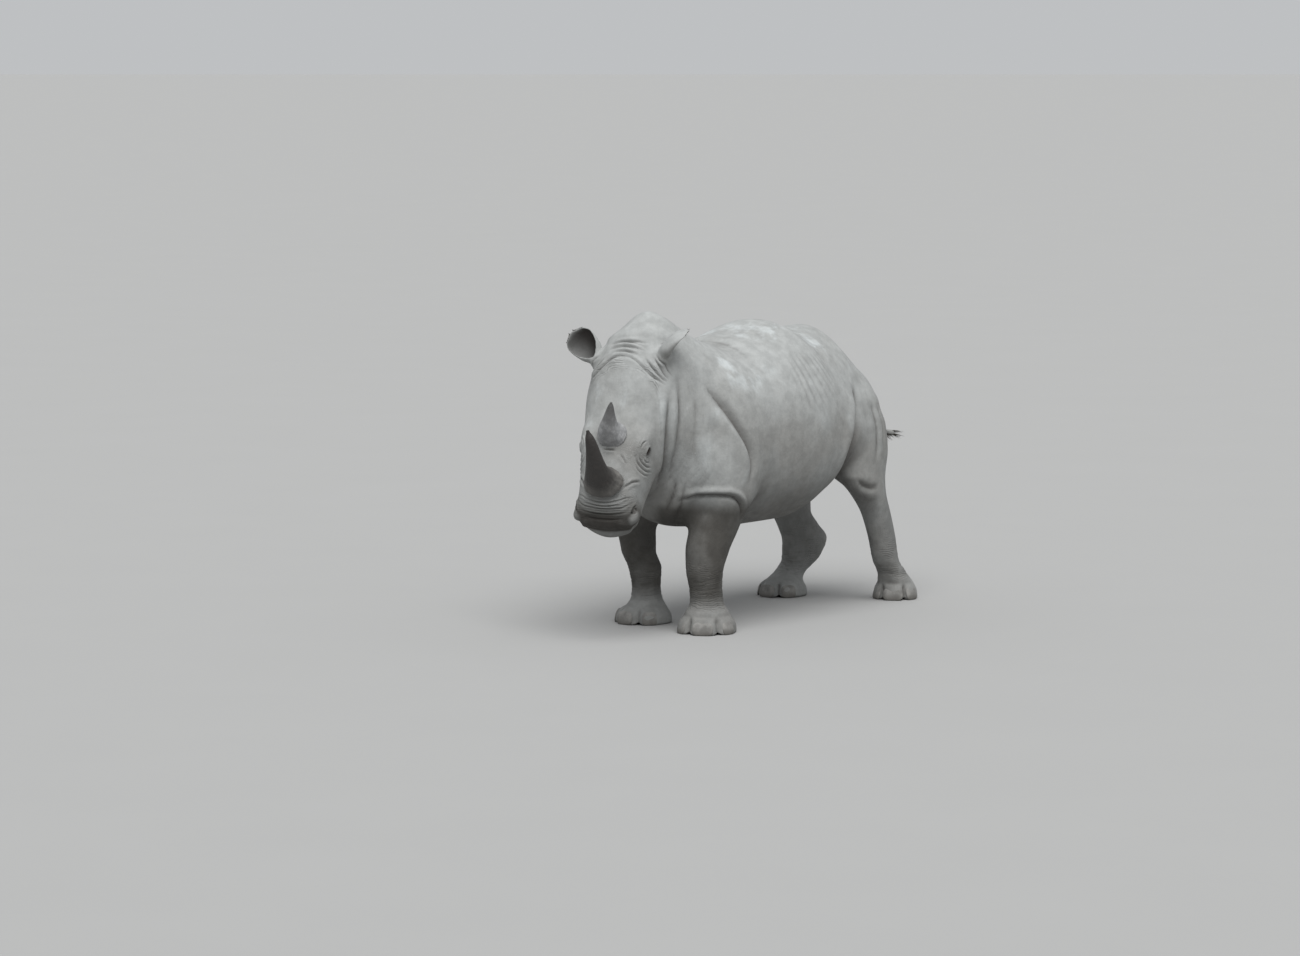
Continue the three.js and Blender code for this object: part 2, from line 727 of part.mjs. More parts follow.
// A toenail: a flattened bead let into the foot's front, facing the way its toe does.
function toenail({ sole, faces, toes, rows }, turn, half, grow) {
  const side = Math.sign(sole[1]);
  const around = (turn + toes) * side;
  const angle = THREE.MathUtils.degToRad(around);
  const [, , halfWidth, front, level] = rows.find(([height]) => height === SOLE_ROW);
  const forward = Math.cos(angle) * (front - level) + level;
  const frame = placed([...sole, 0], [0, 0, side * faces])
    .multiply(placed([forward, Math.sin(angle) * halfWidth, NAIL.above], [0, -NAIL.lean, around]));
  const bead = new THREE.SphereGeometry(1, 8, 6)
    .scale(NAIL.thick + grow, half + grow, NAIL.high + grow)
    .translate(NAIL.forward, 0, 0);
  return solid(bead, frame).subtract(box(WORLD, [-2000, -1000, -500], [2000, 1000, NAIL.clear - grow]));
}

// Bristles stand out from the tail's two edges and close in towards its tip.
function bristles(curve) {
  const { rows, first, last, length, width, thick, spread } = BRISTLES;
  const locks = [];
  for (let i = 0; i < rows; i++)
    for (const side of [-1, 1]) {
      const along = i / (rows - 1);
      const t = THREE.MathUtils.lerp(first, last, along);
      const root = curve.getPointAt(t);
      const ahead = curve.getTangentAt(t);
      const out = new THREE.Vector3(0, side, 0.25 * Math.sin(4 * i));
      out.addScaledVector(ahead, -out.dot(ahead)).normalize();
      const angle = THREE.MathUtils.degToRad(spread * (1 - 0.6 * along));
      const reach = length * (0.86 + 0.14 * Math.sin(3 * i + side));
      const bend = (share, turn) => {
        const point = root.clone().addScaledVector(ahead, share * reach * Math.cos(turn));
        return point.addScaledVector(out, share * reach * Math.sin(turn));
      };
      const spine = new THREE.CatmullRomCurve3([bend(0, 0), bend(0.5, angle), bend(1, angle * 0.7)]);
      const size = (s) => [width * (1 - 0.85 * s), thick * (1 - 0.7 * s)];
      locks.push(solid(alongCurve(spine, out, size, 5, 3)));
    }
  return locks;
}

// ---------------------------------------------------------------- the parts

let head = solid(netOf(hide, HEAD_FRAME, [-120, -470, -490], [1030, 470, 130], CELL.head));
head = head.intersect(headBox(0)).subtract(mouthSlit());
for (const [name, shape] of Object.entries(HORNS)) {
  head = hornSeat(shape, head);
  part(name, horn(shape), 0x5a5048, 0.75);
}
for (const [name, shape] of Object.entries(EARS)) {
  const whole = ear(shape);
  part(name, earPart(shape, whole, EAR_SPLIT, 900), HIDE, 0.9);
  head = head.add(earPart(shape, whole, -100, EAR_SPLIT - GAP));
}
for (const [name, side] of Object.entries(SIDES)) {
  head = withEye(head, side).subtract(nostril(side));
  part(`eye_${name}`, eyeball(side, EYE.radius), 0x1c1410, 0.2);
}
part("head", head, HIDE, 0.9);

const withoutLegs = (body) =>
  Object.values(LEGS).reduce((rest, leg) => rest.subtract(legBox(leg, GAP)), body);

const neck = solid(netOf(hide, WORLD, [460, -560, 460], [1300, 620, 1850], CELL.neck));
part("neck", withoutLegs(neck.intersect(neckBox(0)).subtract(headBox(GAP))), HIDE, 0.9);

const rump = solid(netOf(hide, WORLD, [-1330, -650, 370], [1120, 640, 1820], CELL.torso));
let torso = withoutLegs(rump.subtract(neckBox(GAP)).subtract(headBox(GAP)));
for (const [name, leg] of Object.entries(LEGS)) {
  const [x, y] = leg.sole;
  const [near, far] = y > 0 ? [-60, 620] : [-620, 60];
  const flesh = solid(netOf(hide, WORLD, [x - 440, near, -90], [x + 720, far, 1000], CELL.leg));
  let body = flesh.intersect(legBox(leg, 0)).subtract(floor);
  for (const [toe, [turn, half]] of Object.entries(NAILS)) {
    const nail = (grow) => toenail(leg, turn, half, grow);
    body = body.subtract(nail(GAP));
    part(`nail_${name.slice(4)}_${toe}`, nail(0), 0x6b6258, 0.6);
  }
  part(name, body, HIDE, 0.9);
}

const tailCurve = curveThrough(TAIL.core);
const tailSize = (t) => {
  const radius = THREE.MathUtils.lerp(TAIL.root, TAIL.tip, Math.min(1, t * 1.3));
  return [radius * 0.8, radius];
};
const tail = solid(alongCurve(tailCurve, new THREE.Vector3(0, 1, 0), tailSize, 10, 14));
const tailCut = facing(tailCurve.getPointAt(TAIL.parts_at), tailCurve.getTangentAt(TAIL.parts_at));
const tailBox = (grow) => box(tailCut, [-900, -900, -grow], [900, 900, 900]);
const tailBeyond = tail.intersect(tailBox(0));
part("tail", bristles(tailCurve).reduce((body, lock) => body.add(lock), tailBeyond), HIDE, 0.9);
part("torso", torso.add(tail.subtract(tailBox(GAP))), HIDE, 0.9);

// The middle of its length and width stands over the origin.
const middle = new THREE.Box3().setFromObject(group).getCenter(new THREE.Vector3());
group.position.set(-middle.x, -middle.y, 0);
group.updateMatrixWorld(true);

export default group;
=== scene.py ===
"""A white rhinoceros in mid-stride as a still, life-size figure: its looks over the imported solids."""

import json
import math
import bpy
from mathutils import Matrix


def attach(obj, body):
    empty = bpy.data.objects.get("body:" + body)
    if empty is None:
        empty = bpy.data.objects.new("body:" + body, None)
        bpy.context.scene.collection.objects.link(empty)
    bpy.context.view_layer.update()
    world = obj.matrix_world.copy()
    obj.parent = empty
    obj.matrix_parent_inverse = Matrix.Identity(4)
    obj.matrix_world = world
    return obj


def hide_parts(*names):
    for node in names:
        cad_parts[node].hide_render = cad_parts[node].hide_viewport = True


bl_info = {
    "name": "Rhinoceros Figure",
    "version": (1, 0, 0),
    "blender": (4, 5, 0),
    "location": "View3D > Sidebar > Rhinoceros",
    "description": "Builds the skin, horns, eyes, toenails, hair and stage of a life-size rhinoceros",
    "category": "Object",
}

import bmesh
import bpy
import numpy as np
from bpy.props import FloatProperty, FloatVectorProperty, IntProperty, PointerProperty
from mathutils import Euler, Matrix, Vector

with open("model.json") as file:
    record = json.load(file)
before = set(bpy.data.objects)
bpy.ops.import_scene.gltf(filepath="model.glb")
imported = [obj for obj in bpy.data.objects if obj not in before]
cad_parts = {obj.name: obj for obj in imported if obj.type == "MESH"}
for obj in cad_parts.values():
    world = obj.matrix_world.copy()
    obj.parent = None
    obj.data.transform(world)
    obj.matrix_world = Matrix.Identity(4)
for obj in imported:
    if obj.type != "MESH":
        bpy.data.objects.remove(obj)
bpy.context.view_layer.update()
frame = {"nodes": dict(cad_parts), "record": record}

# ---------------------------------------------------------------- the animal's own sizes, in mm
# Its shape is worked out in its own frame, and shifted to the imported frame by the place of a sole.

MM = 1000  # in a metre
MERGE = 0.00001  # points this near each other, in metres, are one
ROUND = 6.28  # a whole turn
SOLE_FRONT_LEFT = (722, 250)
PACKED_SOLE = {mount["name"]: mount["pos_m"] for mount in frame["record"]["mounts"]}["sole_front_left"]
SHIFT = np.array([PACKED_SOLE[0] * MM - SOLE_FRONT_LEFT[0], PACKED_SOLE[1] * MM - SOLE_FRONT_LEFT[1], 0])

# The head's frame runs from the poll along the face, to the animal's left, and up off the face.
POLL = np.array([1120.0, 8.0, 1547.0])
HEAD_TURN = Euler((math.radians(-3), math.radians(62), math.radians(14)), "XYZ")

EYE = {"at": (555, 165, -90), "looks": (0.3, 0.92, 0.22), "radius": 21, "lid": 7, "opening": (20, 11.5)}
NOSTRIL = {"at": (887, 157, -117), "radii": (16, 27, 13), "turns": (0, -20, 20)}
# A nostril's flap: its middle, its radii, and the spot round which painted shade, earth and fine wrinkles are spared,
# so the lit flap stays pale.
FLAP = {"at": (918, 149, -137), "radii": (31, 25, 26), "spared": (924, 166, -143)}

# Horns: how low each is cut to stand on its seat, its root's radius, how deep it is by its width, its core, and its
# radius along it.
HORNS = {
    "front": {
        "seat": -10,
        "root": 108,
        "deep": 0.8,
        "core": [(778, 0, -40), (780, 2, 80), (752, 8, 180), (700, 6, 265), (632, -12, 332)],
        "radii": [(0, 1), (0.07, 1), (0.15, 0.88), (0.3, 0.68), (0.5, 0.5), (0.7, 0.36), (0.9, 0.22), (1, 0.08)],
    },
    "rear": {
        "seat": -12,
        "root": 78,
        "deep": 0.95,
        "core": [(510, 0, -40), (504, 4, 55), (472, 18, 125), (410, 34, 186)],
        "radii": [(0, 1), (0.12, 1), (0.27, 0.86), (0.52, 0.58), (0.75, 0.36), (0.93, 0.18), (1, 0.08)],
    },
}

# Ears: where each starts, the way it points, the way it opens, and its length.
EARS = {
    "left": {"root": (70, 164, -48), "along": (-0.14, 0.73, 0.76), "open": (-0.7, 0.72, -0.9), "length": 245},
    "right": {"root": (80, -154, -108), "along": (0.3, -0.6, 0.68), "open": (0.95, 0.2, 0.1), "length": 245},
}

# By the share of an ear's length: half its width, its depth, its bow, and how far it curls round in degrees.
EAR_SHAPE = {
    "width": [(0, 34), (0.2, 46), (0.4, 70), (0.72, 84), (0.9, 66), (1, 16)],
    "depth": [(0, 30), (0.2, 36), (0.5, 36), (0.75, 28), (0.92, 16), (1, 6)],
    "bow": [(0, 0), (0.35, -10), (0.7, -8), (1, 8)],
    "curl": [(0, 178), (0.26, 178), (0.36, 150), (0.5, 122), (0.75, 104), (1, 84)],
}
EAR_WALL = 8
EAR_CELL = 4.5

SIDES = {"left": 1, "right": -1}

# Sections along X: where, centre, half width, top, widest level, bottom, squareness.
TRUNK = [
    (-1000, 0, 140, 1250, 1120, 1000, 2),
    (-880, 0, 238, 1374, 1040, 880, 1.9),
    (-720, 0, 345, 1476, 985, 760, 1.85),
    (-540, 0, 414, 1558, 975, 760, 1.85),
    (-300, 0, 480, 1550, 960, 604, 2),
    (-80, 0, 505, 1612, 960, 510, 2.1),
    (220, 0, 486, 1548, 985, 512, 2.15),
    (480, 0, 430, 1484, 1020, 530, 2.1),
    (700, 0, 370, 1490, 1040, 550, 2.1),
    (880, 0, 300, 1430, 1050, 600, 2),
    (1000, 0, 200, 1330, 1060, 740, 2),
]
NECK = [
    (360, 0, 260, 1430, 1080, 720, 2),
    (520, 0, 300, 1500, 1090, 660, 2),
    (680, 0, 315, 1590, 1120, 650, 1.9),
    (830, 0, 300, 1680, 1160, 700, 1.8),
    (930, 0, 275, 1710, 1190, 790, 1.8),
    (1020, 0, 245, 1665, 1210, 880, 1.9),
    (1100, 0, 212, 1570, 1230, 980, 2),
    (1160, 0, 165, 1460, 1240, 1060, 2),
]

# Sections along the head, in its own frame, with the same numbers.
SKULL = [
    (-50, 0, 150, 0, -150, -300, 2),
    (40, 0, 184, 26, -160, -370, 2.1),
    (160, 0, 210, 24, -190, -405, 2.2),
    (300, 0, 222, 6, -215, -410, 2.3),
    (430, 0, 220, -6, -230, -395, 2.3),
    (553, 0, 206, -8, -230, -365, 2.3),
    (680, 0, 186, -6, -220, -335, 2.4),
    (780, 0, 170, -10, -205, -312, 2.6),
    (860, 0, 161, -40, -190, -305, 2.8),
    (912, 0, 151, -92, -190, -300, 2.9),
    (944, 0, 128, -125, -195, -285, 2.8),
]

# Legs stand on their soles, face a way, and turn their toes further out from it, in degrees.
# Rows go down: height, centre across, half width, front, widest level, back, squareness.
LEGS = {
    "front_left": {
        "sole": SOLE_FRONT_LEFT,
        "faces": 6,
        "toes": 20,
        "rows": [
            (980, 10, 110, 130, -80, -260, 2),
            (850, 15, 130, 100, -90, -260, 2),
            (730, 15, 128, 70, -90, -245, 2),
            (558, 8, 122, 118, -47, -208, 2),
            (430, 0, 110, 150, 17, -116, 2),
            (326, 0, 96, 150, 46, -60, 2),
            (232, 0, 84, 126, 32, -62, 2.1),
            (166, 0, 86, 116, 23, -74, 2.1),
            (100, 0, 118, 150, 20, -112, 2.1),
            (40, 0, 148, 172, 15, -138, 2.2),
            (-20, 0, 152, 178, 15, -142, 2.2),
        ],
    },
    "front_right": {
        "sole": (598, -250),
        "faces": 6,
        "toes": 4,
        "rows": [
            (980, -10, 110, 170, -40, -220, 2),
            (850, -15, 130, 170, -20, -210, 2),
            (720, -22, 114, 170, 20, -115, 2),
            (560, -14, 106, 172, 58, -50, 2),
            (400, 0, 98, 142, 56, -36, 2),
            (290, 0, 90, 86, 2, -88, 2),
            (190, 0, 78, 64, -8, -86, 2.1),
            (130, 0, 84, 72, -12, -98, 2.1),
            (80, 0, 120, 124, 0, -118, 2.1),
            (40, 0, 146, 158, 5, -132, 2.2),
            (-20, 0, 150, 162, 5, -138, 2.2),
        ],
    },
    "hind_left": {
        "sole": (-1038, 332),
        "faces": 8,
        "toes": 17,
        "rows": [
            (1110, -95, 90, 500, 340, 190, 2),
            (1000, -80, 112, 560, 360, 140, 2),
            (860, -65, 116, 590, 370, 130, 2),
            (740, -53, 108, 585, 370, 168, 2),
            (620, -33, 90, 455, 320, 193, 2),
            (500, -20, 78, 345, 249, 149, 2),
            (360, -12, 73, 275, 185, 95, 2),
            (230, -6, 70, 224, 146, 60, 2.1),
            (150, 0, 76, 162, 74, -25, 2.1),
            (90, 0, 100, 138, 28, -82, 2.1),
            (40, 0, 116, 138, 16, -104, 2.2),
            (-20, 0, 120, 142, 16, -108, 2.2),
        ],
    },
    "hind_right": {
        "sole": (-770, -252),
        "faces": 8,
        "toes": 0,
        "rows": [
            (1110, 55, 90, 200, 40, -120, 2),
            (1000, 45, 112, 260, 60, -160, 2),
            (850, 28, 118, 290, 50, -195, 2),
            (720, 12, 104, 250, 30, -200, 2),
            (600, 0, 92, 162, -14, -198, 2),
            (470, 0, 82, 80, -50, -202, 2),
            (390, 0, 78, 30, -108, -266, 2),
            (300, 0, 76, -6, -162, -348, 2),
            (200, 0, 71, -4, -124, -288, 2),
            (130, 0, 74, 52, -50, -158, 2.1),
            (85, 0, 104, 120, 0, -110, 2.1),
            (40, 0, 128, 146, 5, -122, 2.2),
            (-20, 0, 132, 150, 5, -126, 2.2),
        ],
    },
}

# Toenails: the way each faces from the middle toe, in degrees, and its half width. Then half a nail's height and
# thickness, its middle's height, how far it is sunk in, its lean in degrees, and its edge's height off the ground.
NAILS = {"inner": (-57, 42.24), "middle": (0, 55.68), "outer": (57, 42.24)}
NAIL = {"high": 38.64, "thick": 11.78, "above": 34, "sunk": 1, "lean": 14, "clear": 3}

# Toes: the way each faces from the middle one and its half width, in degrees, and its swell. Then the ways of the
# notches between them, half their width in degrees, and their depth.
TOES = [(-60, 22, 6), (0, 25, 4), (60, 22, 6)]
NOTCHES = {"ways": (-33, 33), "half": 6.5, "deep": 22}

# Rows of folds: how deep and how far apart.
FOLDS = {"ankle": (2.6, 21), "shank": (1.6, 47), "neck": (2.2, 27), "muzzle": (1.3, 15)}
RIBS = {"deep": 3.4, "apart": 54}

TAIL = {
    "core": [
        (-960, 0, 1250), (-1090, 0, 1212), (-1170, 6, 1120), (-1208, 24, 1005), (-1285, 52, 918), (-1410, 75, 888),
    ],
    "root": 52,
    "tip": 14,
    "thins": 1.3,
    "flat": 0.8,
}

SHOULDER_EDGE = [
    (850, 280, 1365), (800, 330, 1275), (744, 385, 1180), (682, 432, 1075), (628, 449, 980), (606, 452, 895),
    (622, 450, 825), (662, 442, 765),
]
FLANK_FOLD = [
    (-520, 372, 1262), (-478, 415, 1130), (-395, 458, 985), (-322, 466, 880), (-300, 420, 780), (-330, 330, 700),
]

# Creases of the skin: a line of points on it, how wide and deep it is, and how far the skin swells to the right and
# to the left of it as it runs, in mm. Each is also cut in the animal's other side.
BODY_CREASES = [
    # behind the shoulder, over the foreleg, before the thigh, and over the stifle
    (SHOULDER_EDGE, 46, 28, 16, 3),
    ([(905, 150, 712), (884, 205, 722), (852, 276, 740), (816, 352, 746), (756, 410, 738), (696, 430, 704),
      (656, 420, 650), (645, 398, 580)], 20, 19, 2, 19),
    (FLANK_FOLD, 54, 54, 17, 3),
    ([(-498, 389, 734), (-572, 404, 676), (-687, 439, 662)], 34, 9, 12, 4),
    # down the thigh
    ([(-668, 384, 1150), (-672, 404, 1010), (-655, 412, 870), (-620, 410, 780)], 34, 9, 4, 6),
    ([(-740, 372, 1120), (-748, 392, 980), (-735, 398, 850)], 32, 7, 4, 4),
    # behind the cheek, down to the throat
    ([(1062, 232, 1345), (1086, 240, 1180), (1078, 224, 1010), (1036, 160, 862), (972, 56, 734)], 34, 22, 10, 2),
    ([(985, 225, 1430), (1004, 254, 1258), (1016, 256, 1101), (1006, 225, 920), (960, 150, 780)], 32, 9, 5, 4),
    ([(905, 275, 1330), (918, 298, 1202), (922, 290, 1060), (900, 262, 900)], 34, 4, 3, 3),
    ([(952, 200, 850), (930, 165, 745), (895, 81, 630)], 24, 8, 5, 5),
    ([(915, 228, 820), (881, 181, 688), (818, 105, 598)], 24, 7, 5, 5),
    # between and beside the buttocks
    ([(-1040, 0, 1120), (-1010, 0, 1010), (-960, 0, 900), (-900, 0, 800)], 40, 17, 6, 6),
    ([(-1000, 70, 1180), (-1010, 128, 1060), (-975, 165, 930), (-920, 180, 820)], 34, 8, 5, 5),
]
HEAD_CREASES = [
    # over the poll
    ([(95, -32, 35), (85, 14, 36), (96, 61, 28), (131, 109, 10), (166, 155, -16), (184, 198, -43), (196, 231, -78)],
     11, 6, 4, 5),
    ([(72, 107, 8), (120, 149, -9), (162, 196, -38), (178, 225, -73)], 9, 8, 5, 5),
    ([(60, 150, 0), (100, 178, -20), (140, 213, -50), (160, 232, -88)], 9, 7, 4, 4),
    ([(40, 168, -10), (78, 196, -34), (112, 226, -66), (136, 240, -110)], 9, 5, 4, 4),
    ([(-20, 130, 0), (-8, 90, 11), (-9, 45, 14), (-7, 0, 14), (4, -55, 10), (30, -111, -9)], 13, 6, 4, 4),
    ([(40, 112, 8), (30, 66, 20), (22, 22, 24), (28, -30, 24), (50, -84, 14)], 11, 4.5, 3, 3),
    ([(66, 84, 20), (54, 30, 30), (56, -22, 30), (76, -70, 24)], 9, 3.4, 2.2, 2.6),
    # round the eye
    ([(588, 150, -50), (618, 160, -62), (634, 174, -92), (634, 186, -130), (618, 194, -170)], 7, 6, 4, 3),
    ([(596, 140, -42), (636, 150, -54), (656, 170, -88), (658, 184, -134), (640, 196, -190)], 7, 5, 3, 3),
    ([(648, 144, -46), (674, 160, -74), (682, 176, -118), (672, 188, -168)], 7, 4, 3, 3),
    ([(606, 172, -78), (616, 182, -104), (606, 192, -136)], 6, 4, 3, 3),
    ([(516, 170, -64), (536, 160, -50), (572, 154, -46)], 8, 6, 5, 3),
    ([(505, 160, -44), (540, 150, -36), (580, 146, -38)], 7, 3, 2, 2),
    # between the horns, and beside the front one
    ([(589, -45, -9), (595, 0, -10), (601, 45, -12)], 9, 7, 4, 4),
    ([(610, 60, -14), (640, 84, -22), (668, 102, -36)], 9, 5, 4, 3),
    ([(800, 96, -36), (770, 122, -52), (742, 140, -76), (724, 166, -120)], 10, 8, 5, 5),
    # across the muzzle
    ([(863, -120, -62), (872, -76, -51), (876, 3, -51), (866, 81, -46), (838, 127, -62), (826, 156, -106)],
     7, 4, 3, 2.6),
    ([(876, -126, -74), (886, -72, -60), (890, 20, -64), (880, 70, -60), (868, 100, -64)], 6, 2.6, 2, 2),
    ([(884, -130, -84), (896, -70, -71), (902, 24, -77), (890, 101, -77), (862, 138, -88), (846, 162, -118)],
     7, 4, 3, 2.6),
    ([(892, -130, -92), (905, -60, -82), (910, 40, -86), (898, 110, -86)], 6, 2.6, 2, 2),
    ([(900, -134, -104), (916, -70, -96), (922, 23, -98), (908, 106, -98), (888, 146, -106)], 7, 3, 2.2, 2.2),
    ([(920, -120, -128), (938, -50, -124), (941, 30, -124), (930, 100, -126)], 8, 2.4, 2, 2),
    # above the nostril
    ([(850, 168, -128), (868, 162, -104), (898, 152, -102), (920, 142, -122)], 7, 5, 6, 3),
]
MOUTH_HALF = [
    (796, 172, -190), (840, 170, -195), (885, 164, -197), (925, 146, -197), (952, 112, -197), (966, 60, -197),
]
MOUTH_LINE = MOUTH_HALF + [(970, 0, -197)] + [(u, -v, w) for u, v, w in reversed(MOUTH_HALF)]
MOUTH_CREASE = (8, 20, 5, 2)

# Across a crease, in its widths: where its swells end and where they crest, and half its valley's width. Along it,
# the share of its length over which either end fades out.
CREASE = {"ends": 3.2, "crest": 1.15, "valley": 0.58, "fades": 0.3}


# ---------------------------------------------------------------- settings


def tone(name, description, default):
    """A colour among the settings."""
    return FloatVectorProperty(name=name, description=description, default=default, subtype="COLOR")


class SkinSettings(bpy.types.PropertyGroup):
    """Sizes and colours of the skin."""

    cell: FloatProperty(
        name="Mesh size", description="Spacing of the skin's points on the body", default=0.022, unit="LENGTH"
    )
    triangles: IntProperty(
        name="Triangles", description="Most triangles that the skin may have", default=192000, min=20000
    )
    depth: FloatProperty(
        name="Crease depth",
        description="Depth of the skin's creases, as a share of life",
        default=1.0,
        subtype="FACTOR",
    )
    hide: tone("Hide", "Colour of bare hide", (0.25, 0.25, 0.24))
    grey: tone("Grey hide", "Colour of its greyer patches", (0.285, 0.292, 0.286))
    # The dust colour also carries painted light: a highlight along the shoulder's edge, and a paler back where it
    # faces up.
    dust_and_highlight: tone("Dust", "Colour of dust on the back", (0.37, 0.38, 0.374))
    chalk: tone("Chalk", "Colour of chalky streaks in the dust", (0.48, 0.505, 0.505))
    # The earth colour also stands for painted shade on the legs, belly, chest and muzzle.
    earth_and_shade: tone("Earth", "Colour of dried earth on the legs", (0.068, 0.065, 0.059))
    # Painted shade in the creases, wrinkles and cracks.
    dark: tone("Creases", "Colour in the creases", (0.05, 0.043, 0.038))
    # Painted shade in the nostrils, the ears' cups, round the eyes, on the lips and behind the flank's fold.
    hollow: tone("Hollows", "Colour in the nostrils and ears", (0.02, 0.016, 0.014))


class HornSettings(bpy.types.PropertyGroup):
    """Colours of the horns."""

    front: tone("Front horn", "Colour of the front horn", (0.03, 0.027, 0.025))
    front_tip: tone("Front tip", "Colour of the front horn's tip", (0.022, 0.019, 0.017))
    front_base: tone("Front base", "Colour of the front horn's base", (0.3, 0.29, 0.27))
    rear: tone("Rear horn", "Colour of the rear horn", (0.23, 0.232, 0.235))
    rear_tip: tone("Rear tip", "Colour of the rear horn's tip", (0.05, 0.048, 0.046))
    rear_base: tone("Rear base", "Colour of the rear horn's base", (0.26, 0.25, 0.24))


class EyeSettings(bpy.types.PropertyGroup):
    """Colour of the eyes."""

    iris: tone("Iris", "Colour of the iris", (0.035, 0.02, 0.012))


class NailSettings(bpy.types.PropertyGroup):
    """Colours of the toenails."""

    nail: tone("Toenail", "Colour of the toenails", (0.2, 0.196, 0.186))
    darkening: tone("Soil", "Colour of the soil on their edges", (0.09, 0.084, 0.075))


class HairSettings(bpy.types.PropertyGroup):
    """Amount and colour of the hair."""

    bristles: IntProperty(name="Tail bristles", description="Locks along the tail's tip", default=170, min=10)
    fringe: IntProperty(name="Ear fringe", description="Locks along each ear's rim", default=220, min=10)
    colour: tone("Hair", "Colour of the hair", (0.03, 0.025, 0.02))


class StageSettings(bpy.types.PropertyGroup):
    """Floor and light."""

    floor: tone("Floor", "Colour of the floor", (0.36, 0.36, 0.355))
    air: tone("Sky", "Colour of the light from all round", (0.86, 0.88, 0.9))
    key: FloatProperty(name="Key light", description="Strength of the main light", default=3.2)
    sky: FloatProperty(name="Sky light", description="Strength of the light from all round", default=0.6)


# ---------------------------------------------------------------- frames


class Place:
    """A frame: where it is, and its three axes as rows."""

    def __init__(self, at, axes):
        self.at = np.array(at, float)
        self.axes = np.array(axes, float)

    def inside(self, points):
        """Points of the animal's frame, in this one."""
        return (points - self.at) @ self.axes.T

    def outside(self, points):
        """Points of this frame, in the animal's."""
        return np.asarray(points, float) @ self.axes + self.at

    def turned(self, at, turns=(0, 0, 0)):
        """A frame at a point of this one, turned about its axes by degrees."""
        turn = np.array(Euler([math.radians(t) for t in turns], "XYZ").to_matrix())
        return Place(self.outside(at), turn.T @ self.axes)


def unit(way):
    """A direction at length 1."""
    return way / np.linalg.norm(way)


def mirrored(spot, side):
    """A spot of the left side, on this side."""
    return np.array(spot) * (1, side, 1)


def mirrored_turns(turns, side):
    """Turns of a piece of the left side, on this side."""
    return np.array(turns) * (side, 1, side)


WORLD = Place((0, 0, 0), np.eye(3))
HEAD = Place(POLL, np.array(HEAD_TURN.to_matrix()).T)


def leg_place(leg):
    """A leg's frame: up, then to the animal's left, then forward."""
    turn = math.radians(math.copysign(leg["faces"], leg["sole"][1]))
    cos, sin = math.cos(turn), math.sin(turn)
    return Place((*leg["sole"], 0), [(0, 0, 1), (-sin, cos, 0), (cos, sin, 0)])


def read(mesh, what):
    """Three numbers for each of a mesh's points, such as its place."""
    flat = np.empty(len(mesh.vertices) * 3, np.float32)
    mesh.vertices.foreach_get(what, flat)
    return flat.reshape(-1, 3).astype(float)


def animal_points(mesh):
    """A mesh's points in mm in the animal's frame."""
    return read(mesh, "co") * MM - SHIFT


def set_points(mesh, points):
    """Moves a mesh's points to places in mm in the animal's frame."""
    mesh.vertices.foreach_set("co", ((points + SHIFT) / MM).astype(np.float32).ravel())
    mesh.update()


# ---------------------------------------------------------------- the hide's shape


class Rows:
    """Rows joined by a smooth curve that never overshoots them."""

    def __init__(self, rows):
        rows = np.array(sorted(rows), float)
        self.at, self.value = rows[:, 0], rows[:, 1:]
        step = np.diff(self.value, axis=0) / np.diff(self.at)[:, None]
        before, after = step[:-1], step[1:]
        rising = before * after > 0
        self.slope = np.zeros_like(self.value)
        self.slope[1:-1] = np.where(rising, 2 * before * after / np.where(rising, before + after, 1), 0)

    def __call__(self, at):
        at = np.clip(at, self.at[0], self.at[-1])
        i = np.clip(np.searchsorted(self.at, at, side="right") - 1, 0, len(self.at) - 2)
        span = (self.at[i + 1] - self.at[i])[..., None]
        t = (at - self.at[i])[..., None] / span
        return (
            self.value[i] * (2 * t**3 - 3 * t**2 + 1)
            + self.value[i + 1] * (3 * t**2 - 2 * t**3)
            + span * (self.slope[i] * (t**3 - 2 * t**2 + t) + self.slope[i + 1] * (t**3 - t**2))
        )


EAR_CURVES = {name: Rows(rows) for name, rows in EAR_SHAPE.items()}


class Form:
    """A solid form of the hide: its distance, how softly it joins the others, and the box it can reach."""

    margin = 70

    def __init__(self, soft, distance, corners):
        self.soft, self.distance = soft, distance
        self.low, self.high = corners.min(0) - soft - self.margin, corners.max(0) + soft + self.margin


def loft(soft, place, rows, caps):
    """A form through sections across its frame's first axis, closed by caps of these lengths."""
    section = Rows(rows)
    first, last = section.at[0], section.at[-1]

    def distance(points):
        at, v, w = place.inside(points).T
        centre, half, high, level, low, square = section(at).T
        height = np.where(w > level, high - level, level - low)
        cap = np.where(at < first, caps[0], caps[1])
        past = np.maximum(np.maximum(first - at, at - last), 0) / cap
        a, b = np.abs(v - centre) / half, np.abs(w - level) / height
        q = (a**square + b**square + past**square) ** (1 / square)
        grow = np.maximum(q, 0.05) ** (1 - square)
        slope = np.sqrt(
            (grow * a ** (square - 1) / half) ** 2
            + (grow * b ** (square - 1) / height) ** 2
            + (grow * past ** (square - 1) / cap) ** 2
        )
        near = (q - 1) / np.maximum(slope, 0.5 / np.maximum(half, height))
        return np.where(q < 0.3, (q - 1) * np.minimum(half, height), near)

    ends = [(row[0], row[1] + side * row[2], row[k]) for row in rows for side in (-1, 1) for k in (3, 5)]
    ends += [(first - caps[0], 0, rows[0][4]), (last + caps[1], 0, rows[-1][4])]
    return Form(soft, distance, place.outside(ends))


